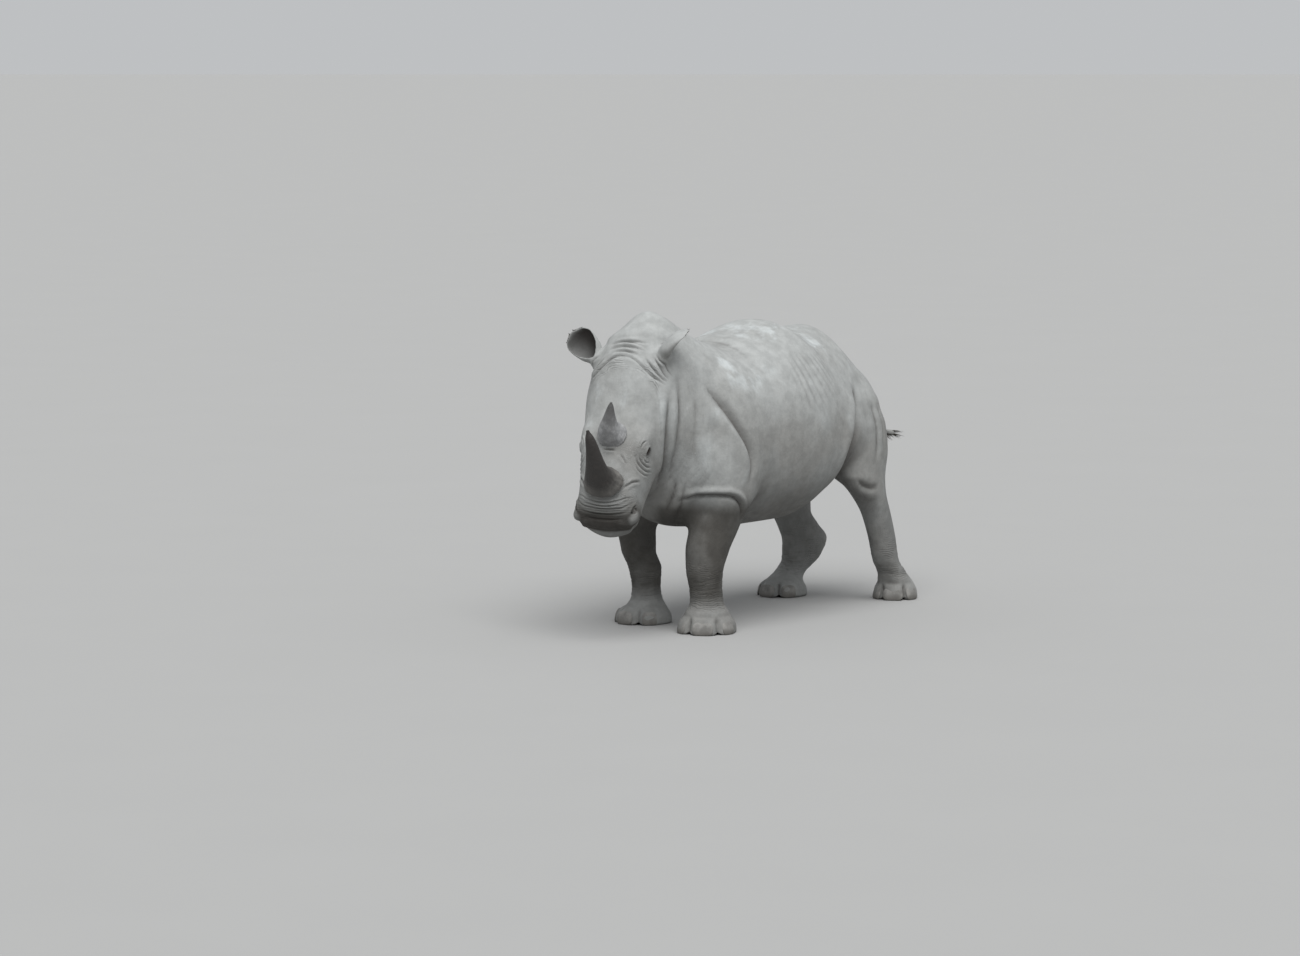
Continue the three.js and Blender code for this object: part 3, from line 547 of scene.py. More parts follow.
def mass(soft, place, at, radii, turns=(0, 0, 0)):
    """A rounded form: an ellipsoid at a point of a frame, turned about that frame's axes."""
    own, radii = place.turned(at, turns), np.array(radii, float)

    def distance(points):
        scaled = own.inside(points) / radii
        k = np.linalg.norm(scaled, axis=1)
        return k * (k - 1) / np.maximum(np.linalg.norm(scaled / radii, axis=1), 1e-6)

    corners = own.outside([(x, y, z) * radii for x in (-1, 1) for y in (-1, 1) for z in (-1, 1)])
    return Form(soft, distance, corners)


def blended(one, other, soft):
    """The distance from two forms joined softly."""
    h = np.maximum(soft - np.abs(one - other), 0) / soft
    return np.minimum(one, other) - h * h * soft / 4


def hollowed(one, other, soft):
    """The distance from what a form keeps when another is softly cut out of it."""
    return -blended(-one, other, soft)


def ear_axes(ear):
    """Where an ear starts, the way it points, the way it opens, and across."""
    axis = unit(np.array(ear["along"]))
    front = unit(np.array(ear["open"]) - axis * np.dot(ear["open"], axis))
    return HEAD.outside(ear["root"]), axis, front, np.cross(axis, front)


def ear_size(name, share):
    """One of an ear's sizes, at a share of its length."""
    return EAR_CURVES[name](share)[..., 0]


def ear_point(ear, share, turn, inset=0):
    """A point of an ear's cup: a share along it, turned round it from its back, and set in from its edge."""
    start, axis, front, side = ear_axes(ear)
    ahead = ear_size("bow", share) - ear_size("depth", share) * math.cos(turn)
    across = (ear_size("width", share) - inset) * math.sin(turn)
    return start + axis * share * ear["length"] + front * ahead + side * across


def ear_spindle(ear):
    """The solid root of an ear, up to where its cup starts."""
    start, axis, front, side = ear_axes(ear)
    rows = []
    for share in (0.0, 0.08, 0.16, 0.22):
        width, depth = ear_size("width", share), ear_size("depth", share)
        rows.append((share * ear["length"], 0, width, depth, 0, -depth, 2))
    return loft(44, Place(start, [axis, side, front]), rows, (30, 16))


def hide_forms():
    """Every form of the hide, in the order in which they are joined."""
    paired = [
        # shoulder, haunch, buttock, brow, and a nostril's bulge
        (120, WORLD, (600, 290, 1000), (220, 140, 380), (8, -14, 0)),
        (120, WORLD, (-730, 190, 960), (220, 150, 300), (6, 10, 0)),
        (110, WORLD, (-865, 138, 985), (140, 106, 260), (0, -14, 0)),
        (60, HEAD, (520, 142, -82), (80, 36, 36), (0, 0, -6)),
        (50, HEAD, (890, 122, -150), (52, 44, 46), (0, 0, 0)),
    ]
    forms = [
        loft(1, WORLD, TRUNK, (105, 60)),
        loft(150, WORLD, NECK, (60, 50)),
        loft(80, HEAD, SKULL, (40, 24)),
    ]
    forms += [loft(90, leg_place(leg), leg["rows"], (40, 80)) for leg in LEGS.values()]
    for side in SIDES.values():
        for soft, place, at, radii, turns in paired:
            forms.append(mass(soft, place, mirrored(at, side), radii, mirrored_turns(turns, side)))
    forms.append(mass(30, HEAD, (886, 0, -162), (86, 158, 34)))  # upper lip
    forms.append(mass(24, HEAD, (886, 0, -246), (106, 128, 50)))  # lower lip
    return forms + [ear_spindle(ear) for ear in EARS.values()]


FORMS = hide_forms()


def hide(points):
    """Distance from the hide in mm near it, negative inside, with the floor cutting its soles flat."""
    distance = np.full(len(points), 1e4)
    for form in FORMS:
        near = np.nonzero(((points > form.low) & (points < form.high)).all(1))[0]
        distance[near] = blended(distance[near], form.distance(points[near]), form.soft)
    return hollowed(distance, points[:, 2], 14)


def drawn_onto(points, field, turns=3, most=12.0):
    """Points moved along a field's slope onto its surface."""
    points = points.copy()
    for _ in range(turns):
        distance = field(points)
        slope = np.stack([(field(points + step) - distance) for step in np.eye(3)], axis=1)
        size = np.maximum((slope**2).sum(1), 0.05)
        points -= (np.clip(distance, -most, most) / size)[:, None] * slope
    return points


# ---------------------------------------------------------------- mesh helpers


def new_piece(name, mesh, material, slot, *nodes):
    """Puts a mesh in the scene as a piece of the figure."""
    mesh.name = name
    mesh.shade_smooth()
    piece = bpy.data.objects.new(name, mesh)
    bpy.context.scene.collection.objects.link(piece)
    mesh.materials.clear()
    mesh.materials.append(material)
    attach(piece, "root")
    if nodes:
        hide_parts(*nodes)
    return piece


def modified(mesh, kind, **settings):
    """A mesh after one modifier."""
    carrier = bpy.data.objects.new("carrier", mesh)
    bpy.context.scene.collection.objects.link(carrier)
    modifier = carrier.modifiers.new("shape", kind)
    for name, value in settings.items():
        setattr(modifier, name, value)
    graph = bpy.context.evaluated_depsgraph_get()
    result = bpy.data.meshes.new_from_object(carrier.evaluated_get(graph))
    bpy.data.objects.remove(carrier)
    return result


def triangles_of(mesh):
    """How many triangles a mesh has."""
    mesh.calc_loop_triangles()
    return len(mesh.loop_triangles)


def united(mesh, other):
    """Two closed meshes as one."""
    tool = bpy.data.objects.new("tool", other)
    bpy.context.scene.collection.objects.link(tool)
    result = modified(mesh, "BOOLEAN", operation="UNION", solver="MANIFOLD", object=tool)
    bpy.data.objects.remove(tool)
    return result


def edges_of(mesh):
    """The two points of each of a mesh's edges."""
    pairs = np.empty(len(mesh.edges) * 2, np.int32)
    mesh.edges.foreach_get("vertices", pairs)
    return pairs.reshape(-1, 2)


def neighbours_mean(values, pairs):
    """Each point's mean over its neighbours."""
    count = np.bincount(pairs.ravel(), minlength=len(values))
    ends = np.concatenate([pairs[:, 0], pairs[:, 1]])
    starts = np.concatenate([pairs[:, 1], pairs[:, 0]])
    columns = [np.bincount(ends, values[starts, c], len(values)) for c in range(values.shape[1])]
    return np.stack(columns, axis=1) / np.maximum(count, 1)[:, None]


def eased(points, pairs, turns, weight=None, amount=0.5):
    """Points drawn towards their neighbours' mean."""
    for _ in range(turns):
        move = amount * (neighbours_mean(points, pairs) - points)
        points = points + (move if weight is None else move * weight[:, None])
    return points


def normals_of(mesh):
    """The way the mesh faces at each point."""
    return read(mesh, "normal")


def mesh_of(bm, name):
    """Makes a mesh of a bmesh, and frees it."""
    mesh = bpy.data.meshes.new(name)
    bm.to_mesh(mesh)
    bm.free()
    return mesh


def righted(mesh):
    """The mesh with its faces pointing out."""
    bm = bmesh.new()
    bm.from_mesh(mesh)
    bmesh.ops.recalc_face_normals(bm, faces=bm.faces)
    bm.to_mesh(mesh)
    bm.free()
    return mesh


def cut_flat(mesh, at, up):
    """Cuts away what lies below a plane, closes the cut, and points the faces out."""
    bm = bmesh.new()
    bm.from_mesh(mesh)
    everything = bm.verts[:] + bm.edges[:] + bm.faces[:]
    cut = bmesh.ops.bisect_plane(bm, geom=everything, plane_co=at, plane_no=up, clear_inner=True, dist=MERGE)
    edges = [e for e in cut["geom_cut"] if isinstance(e, bmesh.types.BMEdge)]
    bmesh.ops.holes_fill(bm, edges=edges, sides=0)
    bmesh.ops.recalc_face_normals(bm, faces=bm.faces)
    bm.to_mesh(mesh)
    bm.free()
    return mesh


def painted(mesh, name, *values):
    """The mesh with four values at each point, as a colour attribute."""
    attribute = mesh.color_attributes.new(name, "FLOAT_COLOR", "POINT")
    attribute.data.foreach_set("color", np.stack(values, axis=1).astype(np.float32).ravel())
    return mesh


def refined(mesh, chosen):
    """The mesh with every edge between chosen points halved."""
    bm = bmesh.new()
    bm.from_mesh(mesh)
    edges = [e for e in bm.edges if chosen[e.verts[0].index] and chosen[e.verts[1].index]]
    bmesh.ops.subdivide_edges(bm, edges=edges, cuts=1, use_grid_fill=True)
    bmesh.ops.triangulate(bm, faces=[f for f in bm.faces if len(f.verts) > 4])
    bm.to_mesh(mesh)
    bm.free()
    return mesh


def ramp(value, low, high):
    """A smooth step from 0 at low to 1 at high."""
    t = np.clip((value - low) / (high - low), 0, 1)
    return t * t * (3 - 2 * t)


def fading(value, full, ends):
    """A smooth step from 1 at full to 0 at ends."""
    return ramp(ends - value, 0, ends - full)


def band(value, starts, full, ebbs, ends):
    """1 between full and ebbs, and 0 before starts and past ends, with smooth steps between."""
    return ramp(value, starts, full) * fading(value, ebbs, ends)


def bell(value, centre, half):
    """1 at the centre, falling away smoothly to either side."""
    return np.exp(-(((value - centre) / half) ** 2))


def wander(points, length, seed=0):
    """A smooth uneven pattern between about -1 and 1, its bumps about this long."""
    total = np.zeros(len(points))
    chance = np.random.default_rng(seed)
    for _ in range(7):
        way = chance.normal(size=3)
        way *= chance.uniform(0.6, 1.5) * 2 * math.pi / (length * np.linalg.norm(way))
        total += np.sin(points @ way + chance.uniform(0, ROUND))
    return total / 3.2


def through(knots, steps=8):
    """A smooth line through points."""
    knots = np.asarray(knots, float)
    ends = np.vstack([2 * knots[0] - knots[1], knots, 2 * knots[-1] - knots[-2]])
    line = []
    for a, b, c, d in zip(ends, ends[1:], ends[2:], ends[3:]):
        for t in np.arange(steps) / steps:
            line.append(
                0.5 * (2 * b + (c - a) * t + (2 * a - 5 * b + 4 * c - d) * t**2 + (3 * b - a - 3 * c + d) * t**3)
            )
    return np.array(line + [knots[-1]])


def evenly(line, count):
    """Points at even steps along a line, and the way it runs at each."""
    reach = np.concatenate([[0], np.cumsum(np.linalg.norm(np.diff(line, axis=0), axis=1))])
    at = np.linspace(0, reach[-1], count)
    points = np.stack([np.interp(at, reach, line[:, c]) for c in range(3)], axis=1)
    ways = np.gradient(points, axis=0)
    return points, ways / np.linalg.norm(ways, axis=1)[:, None]


def tube(line, side, sizes, around, name):
    """A closed tube along a line. sizes gives each ring's half sizes, first the way side points."""
    points, ways = line
    bm = bmesh.new()
    bmesh.ops.create_grid(bm, x_segments=around, y_segments=len(points) - 1, size=1)
    for vertex in bm.verts:
        turn = (vertex.co.x + 1) * math.pi
        ring = round((vertex.co.y + 1) / 2 * (len(points) - 1))
        across = unit(np.array(side) - ways[ring] * np.dot(side, ways[ring]))
        up = np.cross(ways[ring], across)
        half, deep = sizes(ring / (len(points) - 1), turn)
        vertex.co = points[ring] + across * half * math.cos(turn) + up * deep * math.sin(turn)
    bmesh.ops.remove_doubles(bm, verts=bm.verts, dist=0.001)
    bmesh.ops.holes_fill(bm, edges=[e for e in bm.edges if e.is_boundary], sides=0)
    bmesh.ops.recalc_face_normals(bm, faces=bm.faces)
    mesh = mesh_of(bm, name)
    set_points(mesh, read(mesh, "co"))
    return mesh


# ---------------------------------------------------------------- materials


def fill(tree, made, inputs):
    """Links a node's inputs to other nodes' outputs, or gives them values."""
    for name, value in inputs.items():
        socket = made.inputs[name]
        if isinstance(value, bpy.types.NodeSocket):
            tree.links.new(value, socket)
        else:
            socket.default_value = (*value, 1) if socket.type == "RGBA" else value


def node(tree, kind, inputs=None, **settings):
    """Adds a shader node, sets it, and fills its inputs."""
    made = tree.nodes.new(kind)
    for name, value in settings.items():
        setattr(made, name, value)
    fill(tree, made, inputs or {})
    return made


def mixed(tree, factor, one, other, blend="MIX"):
    """A colour between two, by a factor."""
    inputs = {0: factor, 6: one, 7: other}
    return node(tree, "ShaderNodeMix", inputs, data_type="RGBA", blend_type=blend).outputs[2]


def spread(tree, value, low, high, to_low=0.0, to_high=1.0):
    """A value stretched from one range to another, and kept within it."""
    inputs = {"Value": value, "From Min": low, "From Max": high, "To Min": to_low, "To Max": to_high}
    return node(tree, "ShaderNodeMapRange", inputs, interpolation_type="SMOOTHSTEP").outputs[0]


def worked(tree, operation, *values):
    """A value worked out from others."""
    return node(tree, "ShaderNodeMath", dict(enumerate(values)), operation=operation).outputs[0]


def times(tree, one, other):
    """Two values multiplied."""
    return worked(tree, "MULTIPLY", one, other)


def noise(tree, place, scale, detail=4.0, roughness=0.55):
    """An uneven value between 0 and 1."""
    inputs = {"Vector": place, "Scale": scale, "Detail": detail, "Roughness": roughness}
    return node(tree, "ShaderNodeTexNoise", inputs).outputs["Fac"]


def net(tree, place, scale, high):
    """Fine cracks between cells: 1 in a crack, 0 on a cell."""
    cells = node(tree, "ShaderNodeTexVoronoi", {"Vector": place, "Scale": scale}, feature="DISTANCE_TO_EDGE")
    return spread(tree, cells.outputs["Distance"], 0.0, high, 1.0, 0.0)


def stretched(tree, place, scale):
    """A place scaled along each axis."""
    return node(tree, "ShaderNodeMapping", {"Vector": place, "Scale": scale}).outputs[0]


def bumped(tree, height, distance, strength, before=None):
    """A normal raised by a height, over the one before it."""
    inputs = {"Height": height, "Distance": distance, "Strength": strength}
    if before is not None:
        inputs["Normal"] = before
    return node(tree, "ShaderNodeBump", inputs).outputs[0]


def marks(tree, name):
    """The four values of a mesh's colour attribute."""
    values = node(tree, "ShaderNodeAttribute", attribute_name=name).outputs
    red, green, blue = node(tree, "ShaderNodeSeparateColor", {"Color": values["Color"]}).outputs
    return red, green, blue, values["Alpha"]


def shade(colour, share):
    """A colour made lighter or darker by a share."""
    return tuple(share * c for c in colour)


def new_material(name):
    """A material with one shader: itself, its nodes, the shader, and where a point is on the piece."""
    material = bpy.data.materials.new(name)
    material.use_nodes = True
    tree = material.node_tree
    tree.nodes.clear()
    shader = node(tree, "ShaderNodeBsdfPrincipled")
    node(tree, "ShaderNodeOutputMaterial", {"Surface": shader.outputs[0]})
    place = node(tree, "ShaderNodeTexCoord").outputs["Object"]
    return material, tree, shader, place


def hide_material(settings):
    """Dusty hide: pale and streaked on the back, with painted light there and along the shoulder; earthy on the legs
    and darkened there with painted shade; finely wrinkled; and with painted shade in its creases and hollows.
    """
    material, tree, shader, place = new_material("hide")
    dust_and_highlight, crease, pebble, hollow = marks(tree, "skin")
    count, strength, earth_and_shade_amount, _ = marks(tree, "wrinkles")

    # two greys, then dried earth and painted shade, dust and painted light, chalky streaks in the dust, and a fine
    # mottle over them all
    colour = mixed(tree, spread(tree, noise(tree, place, 2.6, 5), 0.4, 0.62), settings.hide, settings.grey)
    earth_and_shade = times(tree, earth_and_shade_amount, spread(tree, noise(tree, place, 5, 5), 0.3, 0.6, 0.75, 1.0))
    colour = mixed(tree, earth_and_shade, colour, settings.earth_and_shade)
    patch = spread(tree, noise(tree, place, 3.4, 5), 0.3, 0.6, 0.55, 1.0)
    colour = mixed(tree, times(tree, dust_and_highlight, patch), colour, settings.dust_and_highlight)
    streak = spread(tree, noise(tree, stretched(tree, place, (7, 7, 2.2)), 1.0, 6, 0.6), 0.5, 0.68)
    patch = spread(tree, noise(tree, place, 2.2, 3), 0.45, 0.62)
    colour = mixed(tree, times(tree, dust_and_highlight, times(tree, streak, patch)), colour, settings.chalk)
    mottle = spread(tree, noise(tree, place, 17, 7, 0.65), 0.3, 0.7, 0.88, 1.1)
    mottle = node(tree, "ShaderNodeCombineColor", {0: mottle, 1: mottle, 2: mottle}).outputs[0]
    colour = mixed(tree, 1.0, colour, mottle, "MULTIPLY")

    # fine wrinkles that waver and break off, and cracks of two sizes
    wavy = node(tree, "ShaderNodeTexNoise", {"Vector": place, "Scale": 24.0, "Detail": 3.0}).outputs["Color"]
    bent = {0: wavy, 1: (0.016, 0.016, 0.016), 2: place}
    bent = node(tree, "ShaderNodeVectorMath", bent, operation="MULTIPLY_ADD").outputs[0]
    unsteady = worked(tree, "MULTIPLY_ADD", noise(tree, place, 11, 3), 1.7, count)
    wave = worked(tree, "ABSOLUTE", worked(tree, "SINE", times(tree, unsteady, math.pi)))
    broken = times(tree, strength, spread(tree, noise(tree, place, 16, 4), 0.38, 0.58, 0.15, 1.0))
    valley = times(tree, spread(tree, wave, 0.0, 0.95, 1.0, 0.0), broken)
    coarse = times(tree, net(tree, bent, 120, 0.4), pebble)
    fine = net(tree, bent, 240, 0.3)
    # painted shade in the cracks, the wrinkles' valleys and the creases, then in the hollows
    for mark, share in ((coarse, 0.22), (fine, 0.06), (valley, 0.16), (crease, 0.62)):
        colour = mixed(tree, times(tree, mark, share), colour, settings.dark)
    colour = mixed(tree, hollow, colour, settings.hollow)

    # lumps, then finer lumps, the wrinkles and the cracks cut in, and a grain
    normal = bumped(tree, noise(tree, stretched(tree, place, (1.4, 1.4, 0.8)), 26, 6, 0.55), 0.005, 0.6)
    normal = bumped(tree, noise(tree, bent, 85, 4, 0.6), 0.0022, 0.6, normal)
    for mark, deep, share in ((valley, 0.003, 0.8), (coarse, 0.0018, 0.8), (fine, 0.0005, 0.5)):
        normal = bumped(tree, spread(tree, mark, 0, 1, 1, 0), deep, share, normal)
    normal = bumped(tree, noise(tree, place, 330, 3), 0.0007, 0.5, normal)
    rough = spread(tree, noise(tree, place, 30, 4), 0.3, 0.7, 0.72, 0.92)
    fill(tree, shader, {"Base Color": colour, "Roughness": rough, "Specular IOR Level": 0.25, "Normal": normal})
    return material


def horn_material(name, colour, tip, base):
    """Fibrous horn: rough and skin-like at its base, dark towards its tip."""
    material, tree, shader, place = new_material(name)
    rise, fibre, flank, _ = marks(tree, "horn")
    patch = noise(tree, place, 26, 7, 0.62)
    worn = mixed(tree, spread(tree, patch, 0.4, 0.7), colour, shade(colour, 1.7))
    worn = mixed(tree, spread(tree, fibre, 0.2, 0.8, 0.0, 0.14), worn, shade(colour, 0.45))
    uneven = worked(tree, "SUBTRACT", rise, times(tree, patch, 0.16))
    worn = mixed(tree, times(tree, flank, spread(tree, uneven, 0.02, 0.3, 1.0, 0.0)), worn, base)
    worn = mixed(tree, spread(tree, rise, 0.5, 0.95, 0.0, 0.85), worn, tip)
    normal = bumped(tree, fibre, 0.0005, 0.6)
    normal = bumped(tree, noise(tree, stretched(tree, place, (1, 1, 1.6)), 60, 6, 0.6), 0.005, 0.7, normal)
    normal = bumped(tree, noise(tree, place, 190, 5), 0.0014, 0.7, normal)
    rough = spread(tree, patch, 0.3, 0.7, 0.55, 0.85)
    fill(tree, shader, {"Base Color": worn, "Roughness": rough, "Normal": normal})
    return material


def eye_material(colour):
    """A dark eye with a wet coat."""
    material, tree, shader, place = new_material("wet eye")
    tint = mixed(tree, spread(tree, noise(tree, place, 90, 3), 0.35, 0.65), shade(colour, 0.5), colour)
    fill(tree, shader, {"Base Color": tint, "Roughness": 0.08, "Coat Weight": 0.6, "Coat Roughness": 0.05})
    return material


def nail_material(colour, soil_colour):
    """Worn toenail, dull, faintly ridged from its root down, and soiled at its edge."""
    material, tree, shader, place = new_material("toenail")
    patch = noise(tree, place, 20, 6, 0.6)
    tint = mixed(tree, spread(tree, patch, 0.3, 0.7), shade(colour, 0.72), shade(colour, 1.25))
    height = node(tree, "ShaderNodeSeparateXYZ", {0: place}).outputs[2]
    tint = mixed(tree, spread(tree, height, 0.0, 0.045, 0.75, 0.0), tint, soil_colour)
    normal = bumped(tree, noise(tree, stretched(tree, place, (3, 3, 0.5)), 60, 4), 0.0012, 0.6)
    normal = bumped(tree, noise(tree, place, 200, 4), 0.0008, 0.6, normal)
    fill(tree, shader, {"Base Color": tint, "Roughness": 0.78, "Specular IOR Level": 0.3, "Normal": normal})
    return material


def hair_material(colour):
    """Dark, slightly uneven hair."""
    material, tree, shader, place = new_material("hair")
    tint = mixed(tree, noise(tree, place, 60, 3), shade(colour, 0.6), shade(colour, 2.0))
    fill(tree, shader, {"Base Color": tint, "Roughness": 0.55})
    return material


# ---------------------------------------------------------------- the skin's parts


def flesh_mesh():
    """The solids of trunk, neck, head and legs as one mesh."""
    bm = bmesh.new()
    for name in ("torso", "neck", "head", "leg_front_left", "leg_front_right", "leg_hind_left", "leg_hind_right"):
        bm.from_mesh(frame["nodes"][name].data)
    bmesh.ops.remove_doubles(bm, verts=bm.verts, dist=MERGE)
    return mesh_of(bm, "flesh")


def fitted(mesh, rounds):
    """The mesh evened out and drawn onto the hide's shape."""
    points, pairs = animal_points(mesh), edges_of(mesh)
    for _ in range(rounds):
        points = drawn_onto(eased(points, pairs, 2), hide, 2)
    set_points(mesh, points)
    return mesh


def ear_mesh(ear):
    """An ear's cup: a curled sheet given its wall's thickness, closed to a pipe at its root."""
    _, _, front, _ = ear_axes(ear)
    bm = bmesh.new()
    bmesh.ops.create_grid(bm, x_segments=40, y_segments=40, size=1)
    for vertex in bm.verts:
        share = 0.1 + 0.9 * (vertex.co.y + 1) / 2
        vertex.co = ear_point(ear, share, math.radians(ear_size("curl", share)) * vertex.co.x)
    bmesh.ops.remove_doubles(bm, verts=bm.verts, dist=0.01)
    bmesh.ops.recalc_face_normals(bm, faces=bm.faces)
    mesh = mesh_of(bm, "ear")
    middle = np.mean([v.co for v in mesh.vertices], axis=0)
    ahead, behind = Vector(middle + front * 60), Vector(middle - front * 40)
    face = min(mesh.polygons, key=lambda f: (f.center - behind).length)
    outward = 1 if face.normal.dot(face.center - ahead) > 0 else -1
    set_points(mesh, read(mesh, "co"))
    thick = modified(mesh, "SOLIDIFY", thickness=EAR_WALL / MM, offset=-outward, use_rim=True)
    closed = modified(thick, "REMESH", mode="VOXEL", voxel_size=EAR_CELL / MM)
    set_points(closed, eased(animal_points(closed), edges_of(closed), 4))
    return closed


def tail_radius(share):
    """Half the tail's depth, at a share of its length."""
    return TAIL["root"] + (TAIL["tip"] - TAIL["root"]) * min(1, TAIL["thins"] * share)


def tail_mesh():
    """The tail as a tapering tube, flattened from side to side, with rings of wrinkles and a rounded end."""
    round_from = 0.97

    def sizes(share, turn):
        radius = tail_radius(share)
        radius *= 1 + 0.035 * math.sin(150 * share + 2 * math.sin(turn + 9 * share))
        if share > round_from:
            radius *= min(1, math.sqrt(max(0, 1 - ((share - round_from) / (1 - round_from)) ** 2)))
        return TAIL["flat"] * radius, radius

    return tube(evenly(through(TAIL["core"]), 90), (0, 1, 0), sizes, 28, "tail")


def eye_place(side):
    """An eye's frame: along the face, up across the lids, and the way it looks."""
    looks = unit(np.array(EYE["looks"]))
    along_face = unit(np.array([1.0, 0, 0]) - looks * looks[0])
    axes = np.array([along_face, np.cross(looks, along_face), looks]) * (1, side, 1)
    return Place(HEAD.outside(mirrored(EYE["at"], side)), axes @ HEAD.axes)


def nostril_place(side):
    """A nostril's frame, its axes those of its hollow."""
    return HEAD.turned(mirrored(NOSTRIL["at"], side), mirrored_turns(NOSTRIL["turns"], side))


def with_openings(points):
    """The hide's distance with bulging lids, hollow nostrils and the flaps beside them."""
    distance = hide(points)
    for side in SIDES.values():
        flap = mass(12, HEAD, mirrored(FLAP["at"], side), FLAP["radii"])
        pit = mass(9, nostril_place(side), (0, 0, 0), NOSTRIL["radii"])
        lids = mass(16, HEAD, mirrored(EYE["at"], side), [EYE["radius"] + EYE["lid"]] * 3)
        distance = blended(distance, flap.distance(points), flap.soft)
        distance = hollowed(distance, pit.distance(points), pit.soft)
        distance = blended(distance, lids.distance(points), lids.soft)
    return distance


def joined(points, pairs):
    """Points eased round the roots of the ears and the tail."""
    roots = [(HEAD.outside(ear["root"]), 110) for ear in EARS.values()]
    roots.append((np.array(TAIL["core"][1], float), 130))
    weight = np.zeros(len(points))
    for root, reach in roots:
        weight = np.maximum(weight, fading(np.linalg.norm(points - root, axis=1), 80, reach))
    return eased(points, pairs, 8, weight)


def faced(mesh):
    """The mesh with the roots of its ears and tail eased, and with lids and nostrils on its face."""
    points, pairs = animal_points(mesh), edges_of(mesh)
    on_hide = np.abs(hide(points)) < 30
    points = joined(points, pairs)
    face = on_hide & (HEAD.inside(points)[:, 0] > 400)
    for _ in range(3):
        moved = drawn_onto(eased(points, pairs, 1), with_openings, 2, 6)
        points = np.where(face[:, None], moved, points)
    set_points(mesh, points)
    return mesh


# ---------------------------------------------------------------- creases and folds


def crease(points, normals, line, width, depth, swell_right, swell_left):
    """How far a crease moves each point along its normal, and how deep its valley is there."""
    move, valley = np.zeros(len(points)), np.zeros(len(points))
    reach = CREASE["ends"] * width
    low, high = line.min(0) - reach, line.max(0) + reach
    near = np.nonzero(((points > low) & (points < high)).all(1))[0]
    if not len(near):
        return move, valley
    own = points[near]
    best = np.full(len(near), 1e9)
    share, signed = np.zeros(len(near)), np.zeros(len(near))
    lengths = np.linalg.norm(np.diff(line, axis=0), axis=1)
    start = np.concatenate([[0], np.cumsum(lengths)])
    for i, (a, b) in enumerate(zip(line, line[1:])):
        way = b - a
        t = np.clip((own - a) @ way / max(way @ way, 1e-9), 0, 1)
        off = own - (a + t[:, None] * way)
        distance = np.linalg.norm(off, axis=1)
        nearer = distance < best
        best = np.where(nearer, distance, best)
        share = np.where(nearer, (start[i] + t * lengths[i]) / start[-1], share)
        sign = np.sign((np.cross(way, normals[near]) * off).sum(1))
        signed = np.where(nearer, sign * distance, signed)
    s = np.abs(signed) / width
    rise = s / CREASE["crest"]
    swell = np.where(signed > 0, swell_right, swell_left) * (rise * np.exp(1 - rise)) ** 1.5
    swell *= ramp(CREASE["ends"] - s, 0, 1.7)
    fade = ramp(share, 0, CREASE["fades"]) * ramp(1 - share, 0, CREASE["fades"])
    valley[near] = depth * np.exp(-((s / CREASE["valley"]) ** 1.6)) * fade
    move[near] = swell * fade - valley[near]
    return move, valley


def crease_lines():
    """Every crease on both sides of the animal: its line on the hide, its width and depth, and its swells."""
    lines = []
    for place, creases in ((WORLD, BODY_CREASES), (HEAD, HEAD_CREASES)):
        for knots, width, depth, right, left in creases:
            for side in (1, -1):
                line = drawn_onto(place.outside(through(mirrored(knots, side))), hide, 3, 40)
                swells = (right, left) if side > 0 else (left, right)
                lines.append((line, width, depth, *swells))
    mouth = drawn_onto(HEAD.outside(through(MOUTH_LINE)), hide, 3, 40)
    return lines + [(mouth, *MOUTH_CREASE)]


def near_creases(points, lines, widest):
    """Points beside creases no wider than this."""
    near = np.zeros(len(points), bool)
    for line, width, *_ in lines:
        if width > widest:
            continue
        reach = 2.3 * width + 4
        box = np.nonzero(((points > line.min(0) - reach) & (points < line.max(0) + reach)).all(1))[0]
        if len(box):
            apart = np.linalg.norm(points[box][:, None, :] - line[None, ::2, :], axis=2).min(1)
            near[box[apart < reach]] = True
    return near


def smooth_normals(mesh, pairs, turns=3):
    """The way the mesh faces at each point, evened out over its neighbours."""
    normals = eased(normals_of(mesh), pairs, turns)
    return normals / np.maximum(np.linalg.norm(normals, axis=1), 1e-6)[:, None]


def creased(mesh, lines, depth_share):
    """The mesh with every crease cut into it, and how deep the deepest is at each point."""
    points, pairs = animal_points(mesh), edges_of(mesh)
    normals = smooth_normals(mesh, pairs)
    move, valleys = np.zeros(len(points)), np.zeros(len(points))
    for line, width, depth, right, left in lines:
        own_move, valley = crease(points, normals, line, width, depth, right, left)
        move += own_move
        valleys = np.maximum(valleys, valley)
    set_points(mesh, points + normals * (move * depth_share)[:, None])
    return mesh, valleys


def rolls(kind, across):
    """Rolls of skin between sharp valleys, as deep and as far apart as this kind of fold."""
    deep, apart = FOLDS[kind]
    return deep * (np.abs(np.sin(math.pi * across / apart)) ** 0.65 - 0.68)


def foot_section(leg):
    """A foot's half width, its front and its middle, just above its sole."""
    return Rows(leg["rows"])(np.array([40.0]))[0][1:4]


